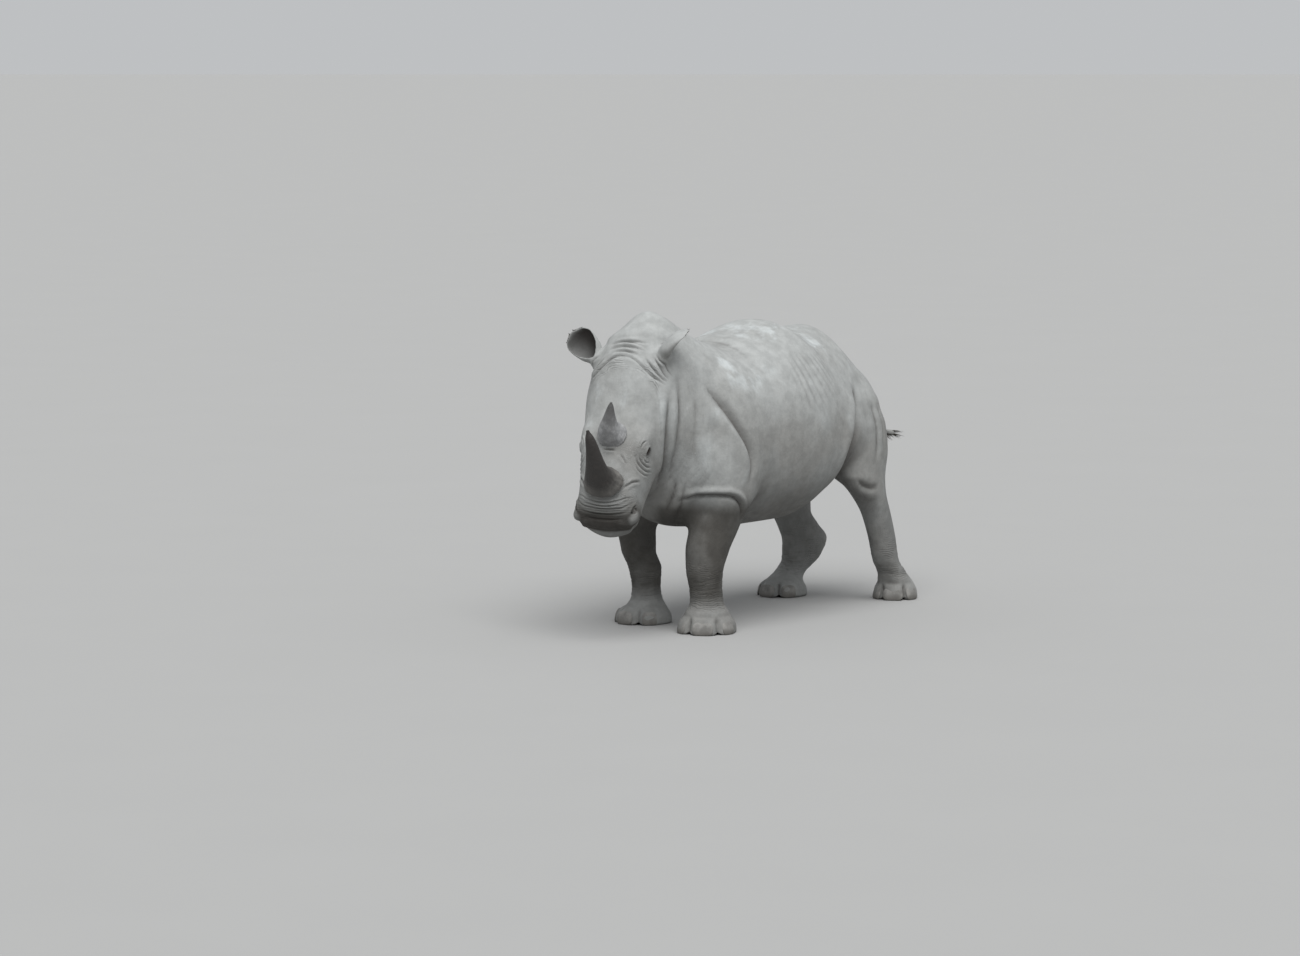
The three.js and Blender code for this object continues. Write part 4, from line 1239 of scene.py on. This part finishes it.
def foot_folds(points, bend, sway):
    """How far the toes, the notches between them and the rings above them move the skin."""
    move = np.zeros(len(points))
    uneven = np.clip(0.7 + 0.5 * wander(points, 90, 5), 0.1, 1.3)
    for leg in LEGS.values():
        side = math.copysign(1, leg["sole"][1])
        height, left, ahead = leg_place(leg).inside(points).T
        half, front, level = foot_section(leg)
        near = (np.hypot(left, ahead - level) < 330) & (height < 560) & (points[:, 1] * side > 0)
        turn = np.degrees(np.arctan2(side * left / half, (ahead - level) / (front - level))) - leg["toes"]
        foot = near * fading(height, 65, 125)
        for way, wide, swell in TOES:
            toe = np.exp(-(np.abs((turn - way) / wide) ** 3))
            move += foot * ramp(height, -30, 20) * swell * toe * fading(height, 58, 92)
            move -= near * 5 * toe * bell(height, 98, 11)
        for way in NOTCHES["ways"]:
            notch = np.exp(-(np.abs((turn - way) / NOTCHES["half"]) ** 1.6))
            move -= foot * NOTCHES["deep"] * notch * fading(height, 62, 112)
        ring = near * band(height, 105, 150, 260, 430)
        move += ring * rolls("ankle", height + 9 * bend + 14 * sway) * uneven
        move += ring * rolls("shank", height - 6 * bend + 10 * sway)
    return move


def body_folds(points, bend, sway):
    """How far the fine folds of the neck, the ribs and the muzzle move the skin."""
    x, y, z = points.T
    u, v, w = HEAD.inside(points).T
    neck = band(x, 700, 820, 1025, 1085) * band(z, 640, 820, 1260, 1480)
    neck *= ramp(np.abs(y), 60, 170) * fading(w, -120, -60) * np.clip(0.5 + 0.6 * wander(points, 210, 15), 0, 1)
    move = neck * rolls("neck", x + 0.10 * (z - 1200) + 16 * sway + 7 * bend)
    slant = 0.08 + 0.0016 * (120 - x)
    ribs = band(x, -300, -160, 90, 190) * band(z, 1090, 1200, 1380, 1470) * ramp(np.abs(y), 250, 340)
    rib = np.sin(2 * math.pi * (x - slant * (z - 1280) + 9 * sway) / RIBS["apart"])
    move += ribs * RIBS["deep"] * rib * (0.75 + 0.25 * bend)
    muzzle = ramp(u, 800, 850) * ramp(w, -185, -150) * ramp(np.abs(v), 10, 60)
    return move + muzzle * rolls("muzzle", u - 0.9 * w + 8 * bend)


def toes_and_folds(mesh):
    """The mesh with toes, rings above its feet, ribs, and fine folds on its neck and muzzle."""
    points = animal_points(mesh)
    normals = smooth_normals(mesh, edges_of(mesh), 2)
    bend, sway = wander(points, 150, 3), wander(points, 420, 7)
    move = foot_folds(points, bend, sway) + body_folds(points, bend, sway)
    set_points(mesh, points + normals * move[:, None])
    return mesh


def opened(mesh):
    """The mesh with its eyelids opened and their edges raised."""
    points = animal_points(mesh)
    wide, tall = EYE["opening"]
    for side in SIDES.values():
        place = eye_place(side)
        own = place.inside(points)
        long, high, out = own.T
        off = np.hypot(long / wide, high / tall * (1 + 0.35 * (long / wide) ** 2))
        near = (np.linalg.norm(own, axis=1) < 2.2 * EYE["radius"]) & (out > 0)
        within = ramp(1.12 - off, 0, 0.14) * near
        behind = np.sqrt(np.maximum((EYE["radius"] - 4) ** 2 - long**2 - high**2, 1))
        own[:, 2] = out * (1 - within) + np.minimum(behind, out) * within + 2.2 * near * bell(off, 1.32, 0.2)
        points = np.where(near[:, None], place.outside(own), points)
    set_points(mesh, points)
    return mesh


# ---------------------------------------------------------------- marks for the skin's material


def from_spot(points, spot):
    """Each point's distance from a spot of the head or from its mirror, whichever is nearer."""
    u, v, w = HEAD.inside(points).T
    return np.linalg.norm(np.stack([u, np.abs(v), w], axis=1) - spot, axis=1)


def on_flap(points):
    """How near each point is to the flap of a nostril."""
    return fading(from_spot(points, FLAP["spared"]), 30, 52)


def wrinkles(points):
    """Fine wrinkles: how many lie before each point on its patch of skin, and how strong they are there.

    Each patch has a distance across its wrinkles, how far apart they lie, and how strong they are.
    """
    x, _, z = points.T
    u, v, w = HEAD.inside(points).T
    sway = 7 * wander(points, 110, 41) + 3 * wander(points, 45, 43)
    brow = np.hypot(u - 380, v - 20)
    eye = from_spot(points, EYE["at"])
    neck = band(x, 840, 930, 1070, 1100) * band(z, 880, 1050, 1330, 1480) * fading(w, -90, -60)
    patches = [
        # over the forehead, round the eyes, across the muzzle, down the neck, and round the legs
        (brow, 13, band(brow, 205, 240, 285, 335) * ramp(w, -120, -50) * (u < 340)),
        (eye, 9, band(eye, 30, 40, 62, 98) * (0.3 + 0.7 * ramp(u, 540, 590))),
        (u - 0.9 * w, 11, 0.9 * ramp(u, 780, 840) * ramp(w, -185, -140)),
        (x + 0.1 * z, 14, 0.4 * neck),
        (z, 12, band(z, 95, 150, 280, 520)),
    ]
    count, strength = np.zeros(len(points)), np.zeros(len(points))
    for across, apart, own in patches:
        count = np.where(own > strength, (across + sway) / apart, count)
        strength = np.maximum(strength, own)
    strength *= 1 - on_flap(points)
    return count, strength * np.clip(0.75 + 0.5 * wander(points, 140, 45), 0.2, 1)


def darkening(points, normals):
    """How far the skin is darkened by dried earth and by painted shade: most on the forelegs, muzzle, chest and belly.
    """
    x, y, z = points.T
    u, _, w = HEAD.inside(points).T
    # painted shade where the belly faces down, on the chest and on the muzzle
    belly = ramp(-normals[:, 2], 0.1, 0.8) * fading(z, 700, 900)
    chest = fading(z, 690, 860) * ramp(x, 820, 950) * fading(u, 260, 330)
    muzzle = ramp(u, 790, 880) * fading(w, -110, -50) * (0.3 + 0.7 * ramp(w, -225, -200))
    most = np.maximum(np.maximum(0.55 * belly, 0.75 * chest), 0.98 * muzzle) * (1 - 0.4 * on_flap(points))
    # painted shade, with dried earth, down each leg under the body, heaviest on the forelegs
    for name, leg in LEGS.items():
        side = math.copysign(1, leg["sole"][1])
        _, left, ahead = leg_place(leg).inside(points).T
        near = fading(np.hypot(left, ahead), 250, 360) * (y * side > 0)
        weight = 1.0 if name.startswith("front") else 0.38
        most = np.maximum(most, weight * near * fading(z, 645, 735) * (0.2 + 0.8 * ramp(z, 90, 230)))
    return most


def forward(knots, heights):
    """How far forward a line of points lies, at these heights."""
    return np.interp(heights, *zip(*sorted((z, x) for x, _, z in knots)))


def on_side(points):
    """How far out from the middle each point is, as a share."""
    return ramp(np.abs(points[:, 1]), 200, 280)


def sunken(mesh, points, normals):
    """How deep each point lies below the skin round it, in small, middling and broad hollows, for the painted shade
    there.
    """
    pairs = edges_of(mesh)
    sunk = np.zeros(len(points))
    for turns, deep in ((3, 3.2), (12, 8.0), (40, 18.0)):
        sunk = np.maximum(sunk, ((eased(points, pairs, turns) - points) * normals).sum(1) / deep)
    return sunk


def dust_and_highlight_amount(points, normals):
    """How much pale dust and painted light lie on the skin: dust on the back, heavier where it faces up as if lit from
    above, a painted highlight along the shoulder's edge, and a pale patch on the shoulder.
    """
    x, _, z = points.T
    # dust on the back, heavier where the skin faces up, which also paints in the light from above
    back = ramp(z + 60 * wander(points, 500, 31), 960, 1240) * np.clip(0.62 + 0.5 * normals[:, 2], 0, 1)
    # a painted highlight along the shoulder's edge
    crest = bell(x, forward(SHOULDER_EDGE, z) + 50, 28) * band(z, 740, 820, 1130, 1330) * on_side(points)
    shoulder = bell(x, 770, 190) * bell(z, 930, 170)
    return np.maximum(np.maximum(back, 0.9 * crest), 0.75 * shoulder)


def pebbly(points):
    """How coarsely cracked the skin is: most on the throat, the legs and beside the horns."""
    x, _, z = points.T
    u, _, w = HEAD.inside(points).T
    throat = ramp(x, 840, 930) * band(z, 640, 800, 950, 1150)
    by_horn = bell(u, 650, 130) * ramp(w, -260, -120) * (u > 380)
    pebble = np.clip(0.6 * throat + 0.55 * band(z, 240, 420, 500, 700) + 0.7 * by_horn + 0.1, 0, 1)
    return pebble * (0.6 + 0.4 * wander(points, 160, 33))


def shaded(points, fold):
    """How much painted shade lies on the lips, in the nostrils, round the eyelids' edges and on the skin behind the
    flank's fold.
    """
    u, _, w = HEAD.inside(points).T
    z = points[:, 2]
    lip = ramp(u, 850, 925) * band(-w, 85, 125, 190, 215) * (1 - on_flap(points))
    under = bell(points[:, 0], fold - 50, 70) * on_side(points) * band(z, 600, 700, 820, 1080)
    dark = np.maximum(0.5 * lip, 0.5 * under)
    for side in SIDES.values():
        pit = np.linalg.norm(nostril_place(side).inside(points) / np.array(NOSTRIL["radii"]), axis=1)
        eye = eye_place(side).inside(points)
        off = np.hypot(eye[:, 0] / EYE["opening"][0], eye[:, 1] / EYE["opening"][1])
        near = np.linalg.norm(eye, axis=1) < 2 * EYE["radius"]
        dark = np.maximum(dark, np.maximum(0.9 * fading(pit, 0.87, 1.12), 0.8 * near * fading(off, 1, 1.5)))
    return dark


def ear_hollow(points, normals, ear):
    """Which points are on an ear's cup, and how much painted shade lies inside it, most on the head's side."""
    start, axis, front, _ = ear_axes(ear)
    rise = (points - start) @ axis
    share = np.clip(rise / ear["length"], 0, 1)
    out = points - start - axis * rise[:, None] - front * ear_size("bow", share)[:, None]
    apart = np.linalg.norm(out, axis=1)
    cup = (rise > 30) & (rise < ear["length"] + 20) & (apart < ear_size("width", share) + 12)
    facing = -(normals * out).sum(1) / np.maximum(apart, 1)
    inside = cup * ramp(facing, 0.0, 0.4) * band(rise, 50, 80, ear["length"] - 34, ear["length"] + 6)
    inward = -math.copysign(1, ear["root"][1]) * (out @ HEAD.axes[1])
    return cup, inside * (0.56 + 0.38 * ramp(inward, -50, 30))


def marked(mesh, valleys):
    """The mesh with dust and painted light, painted shade in its creases and hollows, coarse skin, wrinkles, and earth
    with painted shade marked on it.
    """
    points, normals = animal_points(mesh), normals_of(mesh)
    fold = forward(FLANK_FOLD, points[:, 2])
    # painted shadow on the skin just behind the flank's fold
    behind = bell(points[:, 0], fold - 26, 40) * on_side(points) * band(points[:, 2], 620, 700, 920, 1250)
    # painted shade in the hollows and in the creases' valleys
    deep = np.clip(np.maximum(sunken(mesh, points, normals), valleys / 50), 0, 1)
    deep = np.maximum(deep, 0.8 * behind)
    pebble, dark = pebbly(points), shaded(points, fold)
    for ear in EARS.values():
        # painted shade inside each ear's cup
        cup, hollow = ear_hollow(points, normals, ear)
        pebble, dark = np.where(cup, 0.0, pebble), np.maximum(dark, hollow)
    # dust and painted light, painted shade in creases, coarse skin and painted shade in hollows; then the wrinkles,
    # earth with painted shade, and the hollows again
    painted(mesh, "skin", dust_and_highlight_amount(points, normals), deep, pebble, dark)
    return painted(mesh, "wrinkles", *wrinkles(points), darkening(points, normals), dark)


# ---------------------------------------------------------------- the whole skin


def zone_fore(points):
    """The fore part, the feet and the ribs, where the mesh is refined first."""
    x, y, z = points.T
    return (x > 500) | (z < 480) | ((x > -320) & (z > 1070) & (z < 1490) & (np.abs(y) > 230))


def zone_face(points):
    """The muzzle, and round the eyes and the ears' roots."""
    head = HEAD.inside(points)
    near = (head[:, 0] > 700) | (from_spot(points, EYE["at"]) < 110)
    for ear in EARS.values():
        near |= np.linalg.norm(head - np.array(ear["root"]), axis=1) < 105
    return near


def zone_openings(points):
    """Round the eyes and the nostrils."""
    return (from_spot(points, EYE["at"]) < 52) | (from_spot(points, NOSTRIL["at"]) < 62)


def skin_mesh(settings):
    """The whole skin: refined in steps where its shape is finer, joined to its ears and tail, creased and marked."""
    mesh = flesh_mesh()
    for rounds in (4, 3):
        mesh = fitted(modified(mesh, "REMESH", mode="VOXEL", voxel_size=settings.cell), rounds)
    lines = crease_lines()
    for zone, widest, rounds in ((zone_fore, 36, 2), (zone_face, 16, 1)):
        points = animal_points(mesh)
        mesh = fitted(refined(mesh, zone(points) | near_creases(points, lines, widest)), rounds)
    for part in (*(ear_mesh(ear) for ear in EARS.values()), tail_mesh()):
        mesh = united(mesh, part)
    points = animal_points(mesh)
    mesh = refined(mesh, zone_openings(points) | near_creases(points, lines, 8))
    mesh = refined(mesh, from_spot(animal_points(mesh), EYE["at"]) < 38)
    mesh, valleys = creased(faced(mesh), lines, settings.depth)
    mesh = opened(toes_and_folds(mesh))
    points = animal_points(mesh)
    points[:, 2] = np.maximum(points[:, 2], 0)
    set_points(mesh, points)
    mesh = marked(mesh, valleys)
    return modified(mesh, "DECIMATE", ratio=min(1, settings.triangles / triangles_of(mesh)))


class FIGURE_OT_skin(bpy.types.Operator):
    """Builds the animal's whole skin, with its ears and tail"""

    bl_idname = "figure.skin"
    bl_label = "Skin"

    def execute(self, context):
        settings = context.scene.figure_skin
        new_piece(
            "skin", skin_mesh(settings), hide_material(settings), "hide",
            "torso", "neck", "head", "ear_left", "ear_right", "tail",
            "leg_front_left", "leg_front_right", "leg_hind_left", "leg_hind_right",
        )
        return {"FINISHED"}


# ---------------------------------------------------------------- horns, eyes, toenails


def horn_mesh(horn, name, seed):
    """A horn with ledges round its root and fibres up its sides, standing on its seat."""
    size = Rows(horn["radii"])
    chance = np.random.default_rng(seed)
    fibres = chance.uniform(0, ROUND, 6)
    line, _ = evenly(HEAD.outside(through(horn["core"], 16)), 120)

    def sizes(t, turn):
        # ledges and fine rings near the root, strands up the sides, and lumps at the root
        ledge = 0.02 * abs(math.sin(38 * t + 0.5 * math.sin(2 * turn + fibres[0]))) ** 0.5
        ledge += 0.004 * math.sin(133 * t + fibres[1] + math.sin(3 * turn))
        strand = 0.006 * math.sin(19 * turn + fibres[2] + 3 * t) + 0.004 * math.sin(31 * turn + fibres[3] - 5 * t)
        strand += 0.012 * math.sin(5 * turn + fibres[4] + 4 * t)
        lumps = 0.022 * math.sin(4 * turn + fibres[5]) * math.sin(9 * turn + fibres[3]) * max(0, 1 - 4 * t)
        radius = horn["root"] * size(np.array([t]))[0, 0]
        radius *= 1 + ledge * max(0, 1 - 1.5 * t) + strand * (1 - 0.5 * t) + lumps - 0.012
        return radius, horn["deep"] * radius

    mesh = tube(evenly(line, 120), HEAD.axes[1], sizes, 96, name)
    seat = Vector((HEAD.outside((0, 0, horn["seat"])) + SHIFT) / MM)
    mesh = cut_flat(mesh, seat, Vector(HEAD.axes[2]))
    points, spots = animal_points(mesh), line[::4]
    rise = np.clip(np.linalg.norm(points - line[0], axis=1) / np.linalg.norm(line[-1] - line[0]), 0, 1)
    near = np.argmin(np.linalg.norm(points[:, None, :] - spots[None], axis=2), axis=1)
    off = (points - spots[near]) @ HEAD.axes.T
    turn = np.arctan2(off[:, 1], off[:, 0])
    fibre = 0.5 + 0.25 * np.sin(31 * turn + 4 * np.sin(9 * rise)) + 0.25 * np.sin(53 * turn + 6 * np.sin(5 * rise))
    return painted(mesh, "horn", rise, fibre, 0.3 + 0.7 * np.sin(turn) ** 2, np.ones(len(points)))


class FIGURE_OT_horns(bpy.types.Operator):
    """Builds the front and rear horns"""

    bl_idname = "figure.horns"
    bl_label = "Horns"

    def execute(self, context):
        settings = context.scene.figure_horns
        for end, look, slot, seed in (("front", "dark horn", "horn", 5), ("rear", "pale horn", "horn_pale", 9)):
            tones = [getattr(settings, end + part) for part in ("", "_tip", "_base")]
            mesh = horn_mesh(HORNS[end], f"{end}_horn", seed)
            new_piece(f"{end}_horn", mesh, horn_material(look, *tones), slot, f"horn_{end}")
        return {"FINISHED"}


def bead(radii, place):
    """A rounded bead in a frame."""
    bm = bmesh.new()
    bmesh.ops.create_uvsphere(bm, u_segments=48, v_segments=32, radius=1)
    mesh = mesh_of(bm, "bead")
    set_points(mesh, place.outside(read(mesh, "co") * np.array(radii, float)))
    return mesh


class FIGURE_OT_eyes(bpy.types.Operator):
    """Builds the eyes"""

    bl_idname = "figure.eyes"
    bl_label = "Eyes"

    def execute(self, context):
        material = eye_material(context.scene.figure_eyes.iris)
        for name, side in SIDES.items():
            mesh = righted(bead([EYE["radius"]] * 3, eye_place(side)))
            new_piece(f"{name}_eye", mesh, material, "eye", f"eye_{name}")
        return {"FINISHED"}


def nail_mesh(leg, turn, half):
    """A toenail: a flattened, squarish bead let into the foot's front, worn flat below."""
    side = math.copysign(1, leg["sole"][1])
    around = (turn + leg["toes"]) * side
    angle = math.radians(around)
    wide, front, level = foot_section(leg)
    ahead = math.cos(angle) * (front - level) + level
    foot = Place((*leg["sole"], 0), np.eye(3)).turned((0, 0, 0), (0, 0, side * leg["faces"]))
    place = foot.turned((ahead, math.sin(angle) * wide, NAIL["above"]), (0, -NAIL["lean"], around))
    mesh = bead((1, 1, 1), WORLD)
    points = animal_points(mesh)
    way = np.arctan2(points[:, 2], points[:, 1])
    points[:, 1:] *= ((np.abs(np.cos(way)) ** 3 + np.abs(np.sin(way)) ** 3) ** (-1 / 3))[:, None]
    set_points(mesh, place.outside(points * (NAIL["thick"], half, NAIL["high"]) - (NAIL["sunk"], 0, 0)))
    return cut_flat(mesh, (0, 0, NAIL["clear"] / MM), (0, 0, 1))


class FIGURE_OT_toenails(bpy.types.Operator):
    """Builds the three toenails of each foot"""

    bl_idname = "figure.toenails"
    bl_label = "Toenails"

    def execute(self, context):
        settings = context.scene.figure_nails
        material = nail_material(settings.nail, settings.darkening)
        for leg_name, leg in LEGS.items():
            for toe, (turn, half) in NAILS.items():
                mesh = nail_mesh(leg, turn, half)
                new_piece(f"{leg_name}_{toe}_nail", mesh, material, "nail", f"nail_{leg_name}_{toe}")
        return {"FINISHED"}


# ---------------------------------------------------------------- hair


def hair_mesh(name, locks):
    """Flat tapered locks, each from a root along a bent way, with a small patch of the unwrap of its own."""
    steps, patch_size = 4, 0.003
    bm = bmesh.new()
    layer = bm.loops.layers.uv.new("OFBake")
    for root, way, bend, across, width, patch in locks:
        thick = np.cross(unit(way), across)
        rings = []
        for t in np.arange(steps + 1) / steps:
            point = root + way * t + bend * t * t
            half = width * (1 - t) ** 0.7 + 0.15
            sides = (across * half, thick * half * 0.45, -across * half, -thick * half * 0.45)
            rings.append([bm.verts.new((point + side + SHIFT) / MM) for side in sides])
        faces = [bm.faces.new(rings[0][::-1]), bm.faces.new(rings[-1])]
        for low, high in zip(rings, rings[1:]):
            faces += [bm.faces.new((low[i], low[(i + 1) % 4], high[(i + 1) % 4], high[i])) for i in range(4)]
        height = {vertex: i / steps for i, ring in enumerate(rings) for vertex in ring}
        for face in faces:
            for k, loop in enumerate(face.loops):
                loop[layer].uv = (patch[0] + patch_size * (k in (1, 2)), patch[1] + patch_size * height[loop.vert])
    bmesh.ops.recalc_face_normals(bm, faces=bm.faces)
    return mesh_of(bm, name)


class FIGURE_OT_bristles(bpy.types.Operator):
    """Builds the bristles of the tail's tip"""

    bl_idname = "figure.bristles"
    bl_label = "Tail bristles"

    def execute(self, context):
        settings = context.scene.figure_hair
        chance = np.random.default_rng(11)
        points, ways = evenly(through(TAIL["core"]), 200)
        locks = []
        for _ in range(settings.bristles):
            t = chance.uniform(0.72, 0.985)
            k = int(t * (len(points) - 1))
            up = unit(np.cross(ways[k], (0, 1, 0)))
            turn = chance.choice([0, math.pi]) + chance.normal(0, 0.5)
            out = up * math.cos(turn) + np.array([0, 1.0, 0]) * math.sin(turn)
            length = chance.uniform(60, 118)
            way = ways[k] * length * 0.95 + out * length * chance.uniform(0.05, 0.26)
            bend = -out * length * chance.uniform(0.0, 0.2) + np.array([0, 0, -1.0]) * length * 0.06
            across = unit(np.cross(unit(way), out))
            root = points[k] + out * TAIL["flat"] * tail_radius(t) * 0.6
            patch = (0.02 + 0.9 * t, 0.5 + 0.4 * math.sin(turn))
            locks.append((root, way, bend, across, chance.uniform(1.6, 3.0), patch))
        new_piece("tail_bristles", hair_mesh("tail_bristles", locks), hair_material(settings.colour), "hide")
        return {"FINISHED"}


class FIGURE_OT_ear_fringes(bpy.types.Operator):
    """Builds the short hair along the ears' rims"""

    bl_idname = "figure.ear_fringes"
    bl_label = "Ear fringes"

    def execute(self, context):
        settings = context.scene.figure_hair
        material = hair_material(settings.colour)
        for name, ear in EARS.items():
            chance = np.random.default_rng(21)
            _, axis, front, side = ear_axes(ear)
            locks = []
            for _ in range(settings.fringe):
                share = 1 - 0.1 * chance.uniform(0, 1) ** 1.4
                edge = chance.choice([-1, 1])
                root = ear_point(ear, share, math.radians(ear_size("curl", share)) * edge * 0.97, 3)
                out = axis * (0.9 + 1.6 * max(0, share - 0.75)) + side * edge * 0.45 + front * chance.uniform(0.0, 0.6)
                out = unit(out + chance.normal(0, 0.22, 3))
                length = chance.uniform(2, 4) + 4 * max(0, share - 0.94) / 0.06
                across = unit(np.cross(out, front))
                patch = (0.02 + 0.9 * share, 0.5 + 0.4 * edge)
                width = chance.uniform(0.25, 0.45)
                locks.append((root - out * 3, out * length, axis * length * 0.15, across, width, patch))
            new_piece(f"{name}_ear_fringe", hair_mesh(f"{name}_ear_fringe", locks), material, "hide")
        return {"FINISHED"}


# ---------------------------------------------------------------- stage

# Angles are in degrees, and places and lengths in metres from the middle of the figure's own frame.
CAMERA = {"turn": 55, "rise": 6, "looks_at": (0, 0, 0.8), "away": 25, "left": 0.5213115, "down": 0.0546448}
LENS = {"sensor_width": 36, "lens": 126.69, "clip_end": 200}
SUN = {"from": (0.4, 0.35, 0.85), "width": 50}


def camera_place():
    """Where the camera stands, and its axes: right, up and back."""
    turn, rise = math.radians(CAMERA["turn"]), math.radians(CAMERA["rise"])
    ahead = -Vector((math.sin(turn) * math.cos(rise), math.cos(turn) * math.cos(rise), math.sin(rise)))
    right = ahead.cross(Vector((0, 0, 1))).normalized()
    up = right.cross(ahead)
    at = Vector(CAMERA["looks_at"]) - ahead * CAMERA["away"] - right * CAMERA["left"] - up * CAMERA["down"]
    return Matrix.Translation(at + Vector(SHIFT / MM)) @ Matrix((right, up, -ahead)).transposed().to_4x4()


class FIGURE_OT_stage(bpy.types.Operator):
    """Sets the floor, the light and the camera"""

    bl_idname = "figure.stage"
    bl_label = "Stage"

    def execute(self, context):
        scene = context.scene
        settings = scene.figure_stage
        bm = bmesh.new()
        bmesh.ops.create_circle(bm, cap_ends=True, segments=96, radius=600)
        floor = bpy.data.objects.new("floor", mesh_of(bm, "floor"))
        scene.collection.objects.link(floor)
        material, tree, shader, place = new_material("pale floor")
        tint = mixed(tree, noise(tree, place, 1.2, 3), shade(settings.floor, 0.97), settings.floor)
        fill(tree, shader, {"Base Color": tint, "Roughness": 0.9})
        floor.data.materials.append(material)

        scene.world = bpy.data.worlds.new("studio")
        scene.world.use_nodes = True
        tree = scene.world.node_tree
        fill(tree, tree.nodes["Background"], {"Color": settings.air, "Strength": settings.sky})
        sun = bpy.data.lights.new("key", "SUN")
        sun.energy = settings.key
        sun.angle = math.radians(SUN["width"])
        lamp = bpy.data.objects.new("key", sun)
        lamp.rotation_euler = Vector(SUN["from"]).to_track_quat("Z", "Y").to_euler()
        scene.collection.objects.link(lamp)

        scene.view_settings.view_transform = "Standard"
        lens = bpy.data.cameras.new("camera")
        for name, value in LENS.items():
            setattr(lens, name, value)
        camera = bpy.data.objects.new("camera", lens)
        camera.matrix_world = camera_place()
        scene.collection.objects.link(camera)
        scene.camera = camera
        return {"FINISHED"}


class FIGURE_PT_panel(bpy.types.Panel):
    """Lists the figure's pieces and their settings"""

    bl_idname = "FIGURE_PT_panel"
    bl_label = "Rhinoceros"
    bl_space_type = "VIEW_3D"
    bl_region_type = "UI"
    bl_category = "Rhinoceros"

    def draw(self, context):
        layout = self.layout
        for group in (getattr(context.scene, name) for name in SETTINGS):
            column = layout.column()
            for name in group.bl_rna.properties.keys():
                if name not in ("rna_type", "name"):
                    column.prop(group, name)
        for operator in OPERATORS:
            layout.operator(operator.bl_idname)


SETTINGS = {
    "figure_skin": SkinSettings,
    "figure_horns": HornSettings,
    "figure_eyes": EyeSettings,
    "figure_nails": NailSettings,
    "figure_hair": HairSettings,
    "figure_stage": StageSettings,
}
OPERATORS = (
    FIGURE_OT_skin,
    FIGURE_OT_horns,
    FIGURE_OT_eyes,
    FIGURE_OT_toenails,
    FIGURE_OT_bristles,
    FIGURE_OT_ear_fringes,
    FIGURE_OT_stage,
)


def register():
    for name, group in SETTINGS.items():
        bpy.utils.register_class(group)
        setattr(bpy.types.Scene, name, PointerProperty(type=group))
    for kind in (*OPERATORS, FIGURE_PT_panel):
        bpy.utils.register_class(kind)


def unregister():
    for kind in reversed((*OPERATORS, FIGURE_PT_panel)):
        bpy.utils.unregister_class(kind)
    for name, group in reversed(SETTINGS.items()):
        delattr(bpy.types.Scene, name)
        bpy.utils.unregister_class(group)


def main():
    register()
    for operator in OPERATORS:
        getattr(bpy.ops.figure, operator.bl_idname.split(".")[1])()


if __name__ == "__main__":
    main()
